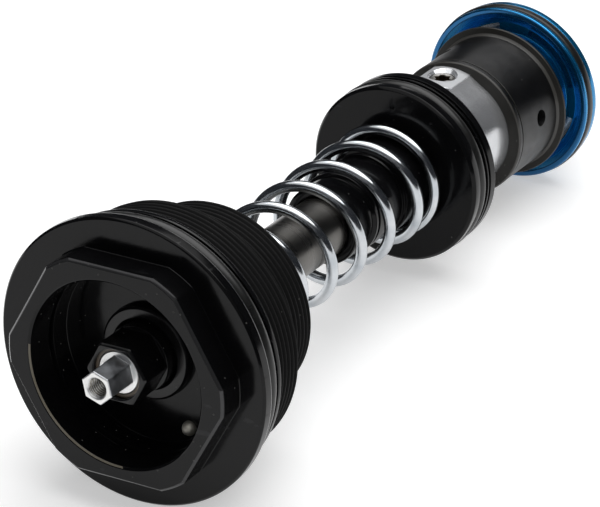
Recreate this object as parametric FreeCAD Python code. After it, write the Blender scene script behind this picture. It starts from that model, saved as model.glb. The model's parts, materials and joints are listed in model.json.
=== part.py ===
import FreeCAD, Part
import math
import os

# Compression damper of a suspension strut: a leg cap with two coaxial
# adjusters, a shaft, a spring-backed floating piston and a shim valve.
# Millimetres, +Z up. The part lies along +X from the adjusters to the valve,
# and its origin is the centre of the face on which the cap seats on the leg.
# An angle is measured about X, from +Y towards +Z.

Vector = FreeCAD.Vector
ORIGIN = Vector(0, 0, 0)
X_AXIS = Vector(1, 0, 0)
Z_AXIS = Vector(0, 0, 1)

# Clearances
THREAD_GAP = 0.03
RUNNING_GAP = 0.04
AXIAL_GAP = 0.1

# Leg cap
FLANGE_R = 20.0
FLANGE_FRONT = -2.0
FLANGE_CHAMFER = 0.3
SEAT_RELIEF_R = 19.35
SEAT_RELIEF_DEPTH = 0.25
BOSS_FRONT = -6.0
BOSS_AF = 30.0
BOSS_CORNER_R = 16.3
BOSS_ANGLE = 28.5
PILOT_R = 18.9
PILOT_END = 3.9
CAP_GROOVE = (0.6, 3.0)
CAP_GROOVE_R = 17.0
CAP_SEAL_WIRE_R = 1.1
LEG_THREAD_R = 17.8
LEG_THREAD_END = 10.6
TUBE_THREAD_R = 14.1
CAP_END = 19.6
SKIRT_BORE_R = 9.2
SPRING_SEAT = 11.6
SPIGOT_R = 6.3
SPIGOT_END = 17.0

# Cup in the cap, and what stands in it
CUP_R = 12.9
CUP_FLOOR = 2.4
CUP_GROOVE = (-1.6, -0.6)
CUP_GROOVE_R = 13.7
PLATE_R = 6.5
PLATE_FRONT = 1.1
PLATE_END = 4.15
PLATE_HOLE_R = 4.8
DETENT_RADIUS = 11.3
DETENT_ANGLES = (-121.6, 58.4)
DETENT_BALL_R = 1.0
DETENT_BALL_X = 2.3
DETENT_BORE_END = 8.4

# High-speed adjuster, outer hexagon
HIGH_HEX_AF = 8.0
HIGH_HEX_ANGLE = 28.0
HIGH_FRONT = -5.6
HIGH_HEX_END = -0.5
HIGH_COLLAR_R = 4.6
HIGH_FLANGE_R = 5.9
HIGH_FLANGE = (4.25, 5.5)
HIGH_POCKET_R = 6.0
HIGH_STEM_R = 3.9
HIGH_END = 8.9
HIGH_SEAL_X = 7.0
HIGH_SEAL_GROOVE_R = 2.9
WIPER_R = 3.42
WIPER = (-4.88, -4.43)

# Low-speed adjuster, inner hexagon
LOW_HEX_AF = 4.1
LOW_HEX_ANGLE = 47.0
LOW_FRONT = -9.9
LOW_DISC_FRONT = -4.9
LOW_STEM_R = 3.0
LOW_COLLAR_R = 3.4
LOW_COLLAR = (0.6, 1.8)
KNOB_SCREW_R = 1.25
KNOB_SCREW_DEPTH = 7.0
LOW_CLIP = (2.0, 2.4)

# Low-speed rod and needle, high-speed tube
ROD_R = 1.05
ROD_FRONT = -2.0
NEEDLE_START = 91.5
NEEDLE_TIP = 94.0
NEEDLE_TIP_R = 0.3
PUSH_TUBE_R = 2.22
PUSH_TUBE_BORE_R = 1.25
PUSH_TUBE = (3.4, 84.8)

# Shaft
SHAFT_R = 4.25
SHAFT_BORE_R = 2.4
SHAFT_FRONT = 9.0
SHAFT_END = 78.9
SHAFT_SEAL_X = 15.3
SHAFT_SEAL_R = 5.12

# Piston spring
WIRE_R = 0.8
SPRING_R = 7.65
SPRING_PITCH = 7.61
DEAD_PITCH = 2.05
DEAD_TURNS = 1.0
RAMP_TURNS = 0.25
SPRING_PHASE_X = 34.27
SPRING_PHASE = 147.8

# Floating piston and its hub
PISTON_R = 12.95
PISTON_FRONT = 64.3
PISTON_END = 70.5
PISTON_CHAMFER = 0.7
PISTON_GROOVE = (65.9, 68.0)
PISTON_GROOVE_R = 11.0
PISTON_SEAL_WIRE_R = 1.0
WITNESS_GROOVE = (68.35, 68.85)
DIMPLE_RADIUS = 10.1
DIMPLE_ANGLE = 88.0
HUB_R = 6.0
HUB_SHOULDER_R = 6.4
HUB_NOSE_R = 5.6
HUB_NOSE_FRONT = 44.6
HUB_FRONT = 49.0
HUB_SHOULDER = 57.0
HUB_END = 70.3
BUSH_R = 5.0
HUB_GROOVES = ((50.1, 50.5), (56.0, 56.4))
HUB_GROOVE_DEPTH = 0.2
HUB_RIB = (58.0, 62.0)
HUB_CAP_END = 52.2
FRONT_SEAL = (46.2, 48.2)
REAR_BUSH_END = 67.0
REAR_SEAL = (67.1, 69.1)
HUB_CLIP = (69.2, 69.9)

# Valve body and housing
BODY_R = 8.25
BODY_FRONT = 71.0
BODY_END = 82.5
PAD_FRONT = 76.4
PAD_Y = 1.1
PAD_TOP = 9.2
PAD_CROWN_R = 8.3
PAD_WIDTH = 6.4
PAD_CORNER_R = 1.0
BLEED_X = 79.7
BLEED_R = 1.5
BLEED_HEAD_R = 1.95
BLEED_HEAD = (7.3, 8.68)
BLEED_BOTTOM = 5.4
BLEED_MOUTH_R = 2.4
SOCKET_R = 0.85
SOCKET_LOBE_R = 0.32
SOCKET_DEPTH = 1.7
HOUSING_R = 10.0
HOUSING_LIP_R = 10.05
HOUSING_CAVITY_R = 8.6
HOUSING_WALL_END = 84.3
HOUSING_SHOULDER_R = 10.35
HOUSING_SHOULDER = 93.45
HOUSING_FLANGE_R = 11.2
HOUSING_FLANGE = (93.8, 95.0)
PORT_X = 89.1
PORT_R = 1.2
PORT_ANGLES = (172.0, 52.0, -68.0)
SPIGOT_THREAD_R = 5.0
STUD_SHOULDER = 96.5
STUD_R = 4.0
STUD_END = 110.0
SEAT_R = 0.8
SEAT_X = 94.5
OIL_BORE_END = 90.0
NEEDLE_BORE_R = 1.3
KEY_SLOT = (84.5, 89.5)
KEY_SLOT_WIDTH = 1.7
BLEED_HOLE_X = 92.0
BLEED_HOLE_R = 0.8

# High-speed preload parts in the housing
KEY_LENGTH = 1.8
KEY_WIDTH = 1.6
KEY_FROM_AXIS = 1.3
KEY_REACH = 6.6
CUP_THICKNESS = 1.4
HIGH_SPRING_R = 6.9
HIGH_SPRING_WIRE_R = 0.6
RING_FRONT = 93.0
RING_STEP = 94.0
RING_NECK = 94.6
RING_SEAT_R = 8.3
RING_OUTER_R = 7.8
RING_INNER_R = 6.6
RING_BORE_R = 5.3

# Base piston and its valves
BASE_R = 12.95
BASE_FRONT = 96.9
BASE_END = 100.2
BASE_GROOVE = (97.6, 99.1)
BASE_GROOVE_R = 12.0
BASE_SEAL_R = 13.1
DISH_MOUTH_R = 12.2
DISH_FLOOR_R = 10.4
DISH_FLOOR = 98.7
VALVE_SEAT = 97.4
PORT_COUNT = 4
HUB_SEAT_R = 5.3
SHIM_SEAT = (8.0, 8.8)
INNER_PORTS = (5.9, 7.5)
INNER_PORT_ANGLE = 58
OUTER_PORTS = (9.3, 10.2)
OUTER_PORT_ANGLE = 62
SHIM_RADII = (8.6, 8.2, 7.7, 7.2)
CHECK_PLATE_R = 11.4
CHECK_PLATE_INNER_R = 8.6
CHECK_THICKNESS = 0.6
CHECK_HUB_R = 6.8
CHECK_ARM_WIDTH = 1.6
CHECK_SPRING_R = 6.1
CHECK_SPRING_WIRE_R = 0.25
GUIDE_R = 5.4
GUIDE_FLANGE = (104.0, 104.8)
GUIDE_FLANGE_R = 7.2
NUT_AF = 12.0
NUT_END = 108.8


def at_angle(radius, angle, x):
    """The point at a radius and an angle about the X axis."""
    turn = math.radians(angle)
    return Vector(x, radius * math.cos(turn), radius * math.sin(turn))


def turned(points):
    """A solid turned about X from a closed outline of (x, radius) points."""
    corners = [Vector(x, 0, radius) for x, radius in points]
    outline = Part.makePolygon(corners + corners[:1])
    return Part.Face(outline).revolve(ORIGIN, X_AXIS, 360)


def tube(start, end, outer, inner=0.0):
    """A cylinder along X, with a bore if it has an inner radius."""
    wall = Part.makeCylinder(outer, end - start, Vector(start, 0, 0), X_AXIS)
    if inner == 0:
        return wall
    bore = Part.makeCylinder(inner, end - start + 2, Vector(start - 1, 0, 0), X_AXIS)
    return wall.cut(bore)


def hex_bar(start, end, across_flats, corner_angle):
    """A hexagonal bar along X with one corner at the given angle."""
    corner_r = across_flats / math.sqrt(3)
    corners = [at_angle(corner_r, corner_angle + 60 * i, start) for i in range(6)]
    outline = Part.makePolygon(corners + corners[:1])
    return Part.Face(outline).extrude(Vector(end - start, 0, 0))


def o_ring(x, centre_r, wire_r):
    """A round-section ring about the X axis."""
    return Part.makeTorus(centre_r, wire_r, Vector(x, 0, 0), X_AXIS)


def cross_hole(x, radius, angle, start, end):
    """A radial cylinder between two distances from the X axis."""
    out = at_angle(1, angle, 0)
    return Part.makeCylinder(radius, end - start, at_angle(start, angle, x), out)


def kidney(start, end, inner, outer, middle, width):
    """A curved slot about the X axis, as wide as the given angle."""
    first, last = middle - width / 2, middle + width / 2
    edges = [
        Part.Arc(*[at_angle(outer, a, start) for a in (first, middle, last)]).toShape(),
        Part.LineSegment(at_angle(outer, last, start), at_angle(inner, last, start)).toShape(),
        Part.Arc(*[at_angle(inner, a, start) for a in (last, middle, first)]).toShape(),
        Part.LineSegment(at_angle(inner, first, start), at_angle(outer, first, start)).toShape(),
    ]
    return Part.Face(Part.Wire(edges)).extrude(Vector(end - start, 0, 0))


def arc_edge(start, corner, end):
    """The arc from start to end that is tangent to both legs of the corner."""
    first = (corner - start).normalize()
    second = (end - corner).normalize()
    weight = math.sqrt((1 + first.dot(second)) / 2)
    middle = (start + corner * (2 * weight) + end) * (1 / (2 + 2 * weight))
    return Part.Arc(start, middle, end).toShape()


def biarc(start, start_way, end, end_way):
    """Two tangent arcs between two points with known directions."""
    chord = end - start
    both = start_way + end_way
    spread = 2 * (1 - start_way.dot(end_way))
    along = chord.dot(both)
    reach = (math.sqrt(along * along + spread * chord.dot(chord)) - along) / spread
    near = start + start_way * reach
    far = end - end_way * reach
    joint = (near + far) * 0.5
    return [arc_edge(start, near, joint), arc_edge(joint, far, end)]


def coil(turns, place, radius, wire_r, start_angle):
    """One unbroken round wire wound about X; place gives x at a turn."""
    step = 1e-4
    quarters = round(4 * turns)

    def point(turn):
        return at_angle(radius, start_angle + 360 * turn, place(turn))

    def way(turn):
        return (point(turn + step) - point(turn - step)).normalize()

    marks = [turns * i / quarters for i in range(quarters + 1)]
    edges = []
    for a, b in zip(marks, marks[1:]):
        edges += biarc(point(a), way(a), point(b), way(b))
    section = Part.Wire(Part.makeCircle(wire_r, point(0), way(0)))
    return Part.Wire(edges).makePipeShell([section], True, False)


def even_coil(start, end, turns, radius, wire_r):
    """A spring of steady pitch between two planes that its wire touches."""
    first = start + wire_r
    pitch = (end - start - 2 * wire_r) / turns
    return coil(turns, lambda turn: first + pitch * turn, radius, wire_r, 0)


def piston_spring_path():
    """The main spring's turns, and x at a turn: both ends wind closer."""
    first = SPRING_SEAT + WIRE_R
    length = PISTON_FRONT - WIRE_R - first
    dead_rise = DEAD_TURNS * DEAD_PITCH
    ramp_rise = RAMP_TURNS * (SPRING_PITCH + DEAD_PITCH) / 2
    live_turns = (length - 2 * dead_rise - 2 * ramp_rise) / SPRING_PITCH
    turns = 2 * DEAD_TURNS + 2 * RAMP_TURNS + live_turns

    def rise(turn):
        if turn <= DEAD_TURNS:
            return DEAD_PITCH * turn
        past = turn - DEAD_TURNS
        if past <= RAMP_TURNS:
            gain = (SPRING_PITCH - DEAD_PITCH) / (2 * RAMP_TURNS)
            return dead_rise + DEAD_PITCH * past + gain * past * past
        return dead_rise + ramp_rise + SPRING_PITCH * (past - RAMP_TURNS)

    def place(turn):
        if turn <= turns / 2:
            return first + rise(turn)
        return first + length - rise(turns - turn)

    return turns, place


def least_spring_gap(turns, place, radius, wire_r, per_turn=48):
    """The least gap of a coil to itself, measured on points of its centre line."""
    count = round(turns * per_turn)
    points = [at_angle(radius, 360 * i / per_turn, place(i / per_turn)) for i in range(count)]
    least = math.inf
    for i in range(count):
        for j in range(i + per_turn // 2, min(i + 2 * per_turn, count)):
            least = min(least, points[i].distanceToPoint(points[j]))
    return least - 2 * wire_r


def top_cap():
    """Black cap with a wrench boss, a flange, two threads and a spring skirt."""
    boss = hex_bar(BOSS_FRONT, FLANGE_FRONT + 1, BOSS_AF, BOSS_ANGLE + 30)
    boss = boss.common(turned([
        (BOSS_FRONT, 0), (BOSS_FRONT, BOSS_CORNER_R - 0.5), (BOSS_FRONT + 0.4, BOSS_CORNER_R),
        (FLANGE_FRONT + 1, BOSS_CORNER_R), (FLANGE_FRONT + 1, 0),
    ]))
    outside = turned([
        (FLANGE_FRONT, 0),
        (FLANGE_FRONT, FLANGE_R - FLANGE_CHAMFER),
        (FLANGE_FRONT + FLANGE_CHAMFER, FLANGE_R),
        (-0.15, FLANGE_R),
        (0, FLANGE_R - 0.15),
        (0, SEAT_RELIEF_R),
        (-SEAT_RELIEF_DEPTH, SEAT_RELIEF_R),
        (-SEAT_RELIEF_DEPTH, PILOT_R),
        (CAP_GROOVE[0], PILOT_R),
        (CAP_GROOVE[0], CAP_GROOVE_R),
        (CAP_GROOVE[1], CAP_GROOVE_R),
        (CAP_GROOVE[1], PILOT_R),
        (PILOT_END - 0.2, PILOT_R),
        (PILOT_END, PILOT_R - 0.3),
        (PILOT_END, LEG_THREAD_R),
        (LEG_THREAD_END - 0.6, LEG_THREAD_R),
        (LEG_THREAD_END, LEG_THREAD_R - 0.6),
        (LEG_THREAD_END, TUBE_THREAD_R),
        (CAP_END - 0.5, TUBE_THREAD_R),
        (CAP_END, TUBE_THREAD_R - 0.5),
        (CAP_END, 0),
    ])
    before, beyond = BOSS_FRONT - 1, CAP_END + 1
    adjuster_bore = turned([
        (before, 0), (before, CUP_R + 0.3), (BOSS_FRONT, CUP_R + 0.3),
        (BOSS_FRONT + 0.3, CUP_R), (CUP_GROOVE[0], CUP_R),
        (CUP_GROOVE[0], CUP_GROOVE_R), (CUP_GROOVE[1], CUP_GROOVE_R),
        (CUP_GROOVE[1], CUP_R), (CUP_FLOOR, CUP_R),
        (CUP_FLOOR, PLATE_R + THREAD_GAP), (PLATE_END, PLATE_R + THREAD_GAP),
        (PLATE_END, HIGH_POCKET_R), (HIGH_FLANGE[1] + AXIAL_GAP, HIGH_POCKET_R),
        (HIGH_FLANGE[1] + AXIAL_GAP, HIGH_STEM_R + RUNNING_GAP),
        (SHAFT_FRONT, HIGH_STEM_R + RUNNING_GAP),
        (SHAFT_FRONT, SHAFT_R + THREAD_GAP),
        (beyond, SHAFT_R + THREAD_GAP), (beyond, 0),
    ])
    skirt = turned([
        (SPRING_SEAT, SPIGOT_R), (SPRING_SEAT, SKIRT_BORE_R), (beyond, SKIRT_BORE_R),
        (beyond, 0), (SPIGOT_END, 0), (SPIGOT_END, SPIGOT_R),
    ])
    seal_groove = tube(SHAFT_SEAL_X - 0.6, SHAFT_SEAL_X + 0.6, SHAFT_SEAL_R + THREAD_GAP)
    cap = boss.fuse(outside).cut(adjuster_bore).cut(skirt).cut(seal_groove)
    for angle in DETENT_ANGLES:
        mouth = at_angle(DETENT_RADIUS, angle, CUP_FLOOR)
        bore_r = DETENT_BALL_R + RUNNING_GAP
        cap = cap.cut(Part.makeCylinder(bore_r, DETENT_BORE_END - CUP_FLOOR, mouth, X_AXIS))
    return cap.removeSplitter()


def cap_seal():
    return o_ring(sum(CAP_GROOVE) / 2, CAP_GROOVE_R + CAP_SEAL_WIRE_R, CAP_SEAL_WIRE_R)


def shaft_seal():
    return tube(SHAFT_SEAL_X - 0.5, SHAFT_SEAL_X + 0.5, SHAFT_SEAL_R, SHAFT_R + 0.02)


def adjuster_plate():
    """Ring nut on the cup's floor that holds the high-speed adjuster in."""
    return turned([
        (PLATE_FRONT, PLATE_HOLE_R + 0.15), (PLATE_FRONT, PLATE_R - 0.3),
        (PLATE_FRONT + 0.3, PLATE_R), (PLATE_END, PLATE_R),
        (PLATE_END, PLATE_HOLE_R), (PLATE_FRONT + 0.15, PLATE_HOLE_R),
    ])


def high_speed_adjuster():
    """Black outer hexagon with its collar, flange and stem."""
    corner_r = HIGH_HEX_AF / math.sqrt(3)
    head = hex_bar(HIGH_FRONT, HIGH_HEX_END + 0.5, HIGH_HEX_AF, HIGH_HEX_ANGLE + 30)
    head = head.common(turned([
        (HIGH_FRONT, 0), (HIGH_FRONT, corner_r - 0.3), (HIGH_FRONT + 0.3, corner_r),
        (HIGH_HEX_END + 0.5, corner_r), (HIGH_HEX_END + 0.5, 0),
    ]))
    groove = (HIGH_SEAL_X - 0.6, HIGH_SEAL_X + 0.6)
    outside = turned([
        (HIGH_HEX_END, 0), (HIGH_HEX_END, HIGH_COLLAR_R - 0.2),
        (HIGH_HEX_END + 0.2, HIGH_COLLAR_R), (HIGH_FLANGE[0], HIGH_COLLAR_R),
        (HIGH_FLANGE[0], HIGH_FLANGE_R), (HIGH_FLANGE[1], HIGH_FLANGE_R),
        (HIGH_FLANGE[1], HIGH_STEM_R), (groove[0], HIGH_STEM_R),
        (groove[0], HIGH_SEAL_GROOVE_R), (groove[1], HIGH_SEAL_GROOVE_R),
        (groove[1], HIGH_STEM_R), (HIGH_END, HIGH_STEM_R), (HIGH_END, 0),
    ])
    before, beyond = HIGH_FRONT - 1, HIGH_END + 1
    stem_bore_r = LOW_STEM_R + RUNNING_GAP
    collar_bore_r = LOW_COLLAR_R + AXIAL_GAP
    inside = turned([
        (before, 0), (before, WIPER_R + THREAD_GAP), (WIPER[1] + 0.03, WIPER_R + THREAD_GAP),
        (WIPER[1] + 0.03, stem_bore_r), (LOW_COLLAR[0] - AXIAL_GAP, stem_bore_r),
        (LOW_COLLAR[0] - AXIAL_GAP, collar_bore_r), (LOW_CLIP[0] - 0.05, collar_bore_r),
        (LOW_CLIP[0] - 0.05, 3.9), (LOW_CLIP[1] + 0.05, 3.9),
        (LOW_CLIP[1] + 0.05, collar_bore_r), (3.2, collar_bore_r),
        (3.2, PUSH_TUBE_R + RUNNING_GAP), (beyond, PUSH_TUBE_R + RUNNING_GAP), (beyond, 0),
    ])
    return head.fuse(outside).cut(inside).removeSplitter()


def high_speed_seal():
    return o_ring(HIGH_SEAL_X, HIGH_SEAL_GROOVE_R + 0.5, 0.49)


def low_speed_wiper():
    return tube(WIPER[0], WIPER[1], WIPER_R, LOW_STEM_R + RUNNING_GAP)


def low_speed_adjuster():
    """Silver inner hexagon with a disc, a stem and a retaining collar."""
    corner_r = LOW_HEX_AF / math.sqrt(3)
    head = hex_bar(LOW_FRONT, LOW_DISC_FRONT + 0.5, LOW_HEX_AF, LOW_HEX_ANGLE + 30)
    head = head.common(turned([
        (LOW_FRONT, 0), (LOW_FRONT, corner_r - 0.2), (LOW_FRONT + 0.2, corner_r),
        (LOW_DISC_FRONT + 0.5, corner_r), (LOW_DISC_FRONT + 0.5, 0),
    ]))
    outside = turned([
        (LOW_DISC_FRONT, 0), (LOW_DISC_FRONT, LOW_STEM_R - 0.15),
        (LOW_DISC_FRONT + 0.15, LOW_STEM_R), (LOW_COLLAR[0], LOW_STEM_R),
        (LOW_COLLAR[0], LOW_COLLAR_R), (LOW_COLLAR[1], LOW_COLLAR_R), (LOW_COLLAR[1], 0),
    ])
    knob_hole = tube(LOW_FRONT - 1, LOW_FRONT + KNOB_SCREW_DEPTH, KNOB_SCREW_R)
    rod_hole = tube(ROD_FRONT - 0.2, LOW_COLLAR[1] + 1, ROD_R + RUNNING_GAP)
    return head.fuse(outside).cut(knob_hole).cut(rod_hole).removeSplitter()


def low_speed_clip():
    """Open retaining ring behind the low-speed adjuster's collar."""
    ring = tube(LOW_CLIP[0], LOW_CLIP[1], 3.86, 2.7)
    gap = Part.makeBox(3, 1.6, 5, Vector(LOW_CLIP[0] - 1, -0.8, 0))
    return ring.cut(gap)


def low_speed_rod():
    """Long rod with a needle point, which screws along inside the shaft."""
    return turned([
        (ROD_FRONT, 0), (ROD_FRONT, ROD_R), (NEEDLE_START, ROD_R),
        (NEEDLE_TIP, NEEDLE_TIP_R), (NEEDLE_TIP, 0),
    ])


def high_speed_tube():
    return tube(PUSH_TUBE[0], PUSH_TUBE[1], PUSH_TUBE_R, PUSH_TUBE_BORE_R)


def preload_keys():
    """Two keys that carry the tube's push out through the body's slots."""
    corner = Vector(PUSH_TUBE[1], KEY_FROM_AXIS, -KEY_WIDTH / 2)
    key = Part.makeBox(KEY_LENGTH, KEY_REACH, KEY_WIDTH, corner)
    other = key.copy()
    other.rotate(ORIGIN, X_AXIS, 180)
    return Part.makeCompound([key, other])


def preload_cup():
    start = PUSH_TUBE[1] + KEY_LENGTH
    return tube(start, start + CUP_THICKNESS, HOUSING_CAVITY_R - 0.3, SPIGOT_THREAD_R + 0.06)


def high_speed_spring():
    start = PUSH_TUBE[1] + KEY_LENGTH + CUP_THICKNESS
    return even_coil(start, RING_FRONT, 2, HIGH_SPRING_R, HIGH_SPRING_WIRE_R)


def pressure_ring():
    """Ring that carries the high-speed spring's force to the shims."""
    return turned([
        (RING_FRONT, RING_BORE_R), (RING_FRONT, RING_SEAT_R), (RING_STEP, RING_SEAT_R),
        (RING_NECK, RING_OUTER_R), (STUD_SHOULDER, RING_OUTER_R), (STUD_SHOULDER, RING_INNER_R),
        (RING_NECK, RING_INNER_R), (RING_STEP, RING_BORE_R),
    ])


def damper_shaft():
    """Satin steel tube from the cap to the valve body."""
    return turned([
        (SHAFT_FRONT, SHAFT_BORE_R), (SHAFT_FRONT, SHAFT_R - 0.3),
        (SHAFT_FRONT + 0.3, SHAFT_R), (SHAFT_END - 0.3, SHAFT_R),
        (SHAFT_END, SHAFT_R - 0.3), (SHAFT_END, SHAFT_BORE_R),
    ])


def piston_spring():
    """Bright wire spring that pushes the floating piston to the valve end."""
    turns, place = piston_spring_path()
    near_turn = DEAD_TURNS + RAMP_TURNS
    phase_turn = near_turn + (SPRING_PHASE_X - place(near_turn)) / SPRING_PITCH
    gap = least_spring_gap(turns, place, SPRING_R, WIRE_R)
    print(f"piston_spring: {turns:.2f} turns, least gap to itself {gap:.2f} mm")
    return coil(turns, place, SPRING_R, WIRE_R, SPRING_PHASE - 360 * phase_turn)


def floating_piston():
    """Black piston with a seal groove, screwed onto its hub."""
    piston = turned([
        (PISTON_FRONT, HUB_R), (PISTON_FRONT, PISTON_R - PISTON_CHAMFER),
        (PISTON_FRONT + PISTON_CHAMFER, PISTON_R),
        (PISTON_GROOVE[0], PISTON_R), (PISTON_GROOVE[0], PISTON_GROOVE_R),
        (PISTON_GROOVE[1], PISTON_GROOVE_R), (PISTON_GROOVE[1], PISTON_R),
        (WITNESS_GROOVE[0], PISTON_R), (WITNESS_GROOVE[0], PISTON_R - 0.6),
        (WITNESS_GROOVE[1], PISTON_R - 0.6), (WITNESS_GROOVE[1], PISTON_R),
        (PISTON_END - 0.4, PISTON_R), (PISTON_END, PISTON_R - 0.4), (PISTON_END, HUB_R),
    ])
    dimple = at_angle(DIMPLE_RADIUS, DIMPLE_ANGLE, PISTON_FRONT)
    return piston.cut(Part.makeCylinder(0.4, 0.4, dimple, X_AXIS))


def piston_seal():
    return o_ring(sum(PISTON_GROOVE) / 2, PISTON_GROOVE_R + 1.05, PISTON_SEAL_WIRE_R)


def piston_hub():
    """Long black hub, with a bush pocket at each end, that slides on the shaft."""
    pocket_r = BUSH_R + THREAD_GAP
    thread_r = HUB_R - THREAD_GAP
    rib_r = SHAFT_R + 0.25
    outline = [(HUB_FRONT, pocket_r), (HUB_FRONT, HUB_NOSE_R), (HUB_FRONT + 0.4, HUB_R)]
    for start, end in HUB_GROOVES:
        root = HUB_R - HUB_GROOVE_DEPTH
        outline += [(start, HUB_R), (start, root), (end, root), (end, HUB_R)]
    return turned(outline + [
        (HUB_SHOULDER, HUB_R), (HUB_SHOULDER, HUB_SHOULDER_R),
        (PISTON_FRONT, HUB_SHOULDER_R), (PISTON_FRONT, thread_r), (HUB_END, thread_r),
        (HUB_END, pocket_r), (HUB_RIB[1], pocket_r), (HUB_RIB[1], rib_r),
        (HUB_RIB[0], rib_r), (HUB_RIB[0], pocket_r),
    ])


def hub_cap():
    """Round nose screwed into the hub, which holds the front rod seal."""
    inner_r = SHAFT_R + 0.15
    return turned([
        (HUB_NOSE_FRONT, inner_r), (HUB_NOSE_FRONT, HUB_NOSE_R - 0.5),
        (HUB_NOSE_FRONT + 0.15, HUB_NOSE_R - 0.15), (HUB_NOSE_FRONT + 0.5, HUB_NOSE_R),
        (HUB_FRONT, HUB_NOSE_R), (HUB_FRONT, BUSH_R), (HUB_CAP_END, BUSH_R), (HUB_CAP_END, inner_r),
        (FRONT_SEAL[1], inner_r), (FRONT_SEAL[1], SHAFT_SEAL_R + THREAD_GAP),
        (FRONT_SEAL[0], SHAFT_SEAL_R + THREAD_GAP), (FRONT_SEAL[0], inner_r),
    ])


def hub_seals():
    seal_bore = SHAFT_R + RUNNING_GAP
    front = tube(FRONT_SEAL[0] + 0.05, FRONT_SEAL[1] - 0.05, SHAFT_SEAL_R, seal_bore)
    rear = tube(REAR_SEAL[0], REAR_SEAL[1], BUSH_R, seal_bore)
    return Part.makeCompound([front, rear])


def hub_bushes():
    bush_bore = SHAFT_R + RUNNING_GAP
    front = tube(HUB_CAP_END + AXIAL_GAP, HUB_RIB[0] - AXIAL_GAP, BUSH_R, bush_bore)
    rear = tube(HUB_RIB[1] + AXIAL_GAP, REAR_BUSH_END, BUSH_R, bush_bore)
    return Part.makeCompound([front, rear])


def hub_clip():
    return tube(HUB_CLIP[0], HUB_CLIP[1], BUSH_R, SHAFT_R + 0.3)


def upright(radius, start, end, top_radius=None):
    """A cylinder or cone along the bleed screw's upright axis."""
    foot = Vector(BLEED_X, PAD_Y, start)
    if top_radius is None:
        return Part.makeCylinder(radius, end - start, foot, Z_AXIS)
    return Part.makeCone(radius, top_radius, end - start, foot, Z_AXIS)


def bleed_pad():
    """Raised pad round the bleed screw, with a crowned top and round corners."""
    length = BODY_END - PAD_FRONT
    corner = Vector(PAD_FRONT, PAD_Y - PAD_WIDTH / 2, SPIGOT_THREAD_R)
    block = Part.makeBox(length, PAD_WIDTH, PAD_TOP, corner)
    front_edges = [
        edge for edge in block.Edges
        if edge.BoundBox.ZLength > 1 and edge.BoundBox.XMax < PAD_FRONT + 1
    ]
    block = block.makeFillet(PAD_CORNER_R, front_edges)
    crown_axis = Vector(PAD_FRONT, PAD_Y, PAD_TOP - PAD_CROWN_R)
    return block.common(Part.makeCylinder(PAD_CROWN_R, length, crown_axis, X_AXIS))


def valve_body():
    """Silver body on the shaft's end, with a long slotted stud behind it."""
    body = turned([
        (BODY_FRONT, SHAFT_R + THREAD_GAP), (BODY_FRONT, BODY_R - 0.5),
        (BODY_FRONT + 0.5, BODY_R), (BODY_END, BODY_R), (BODY_END, SPIGOT_THREAD_R),
        (STUD_SHOULDER, SPIGOT_THREAD_R), (STUD_SHOULDER, STUD_R),
        (STUD_END - 0.5, STUD_R), (STUD_END, STUD_R - 0.5), (STUD_END, SEAT_R),
        (SEAT_X, SEAT_R), (SEAT_X, NEEDLE_BORE_R), (OIL_BORE_END, NEEDLE_BORE_R),
        (OIL_BORE_END, PUSH_TUBE_R + 0.08),
        (SHAFT_END + 0.1, PUSH_TUBE_R + 0.08), (SHAFT_END + 0.1, SHAFT_R + THREAD_GAP),
    ])
    slot_corner = Vector(KEY_SLOT[0], -6, -KEY_SLOT_WIDTH / 2)
    slot = Part.makeBox(KEY_SLOT[1] - KEY_SLOT[0], 12, KEY_SLOT_WIDTH, slot_corner)
    head_hole_r = BLEED_HEAD_R + THREAD_GAP
    body = body.fuse(bleed_pad()).cut(slot)
    body = body.cut(upright(head_hole_r, BLEED_HEAD[1], PAD_TOP, BLEED_MOUTH_R))
    body = body.cut(upright(head_hole_r, BLEED_HEAD[0], PAD_TOP))
    body = body.cut(upright(BLEED_R + THREAD_GAP, BLEED_BOTTOM - AXIAL_GAP, PAD_TOP))
    body = body.cut(upright(0.5, 0, BLEED_BOTTOM))
    return body.cut(cross_hole(BLEED_HOLE_X, BLEED_HOLE_R, 90, 0, 6))


def bleed_screw():
    """Sunk round-headed screw with a six-lobed socket."""
    top = BLEED_HEAD[1]
    screw = upright(BLEED_R, BLEED_BOTTOM, BLEED_HEAD[0]).fuse(upright(BLEED_HEAD_R, *BLEED_HEAD))
    socket = upright(SOCKET_R, top - SOCKET_DEPTH, top + 1)
    for i in range(6):
        turn = math.radians(60 * i)
        lobe = upright(SOCKET_LOBE_R, top - SOCKET_DEPTH, top + 1)
        lobe.translate(Vector(SOCKET_R * math.cos(turn), SOCKET_R * math.sin(turn), 0))
        socket = socket.fuse(lobe)
    return screw.cut(socket)


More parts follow.
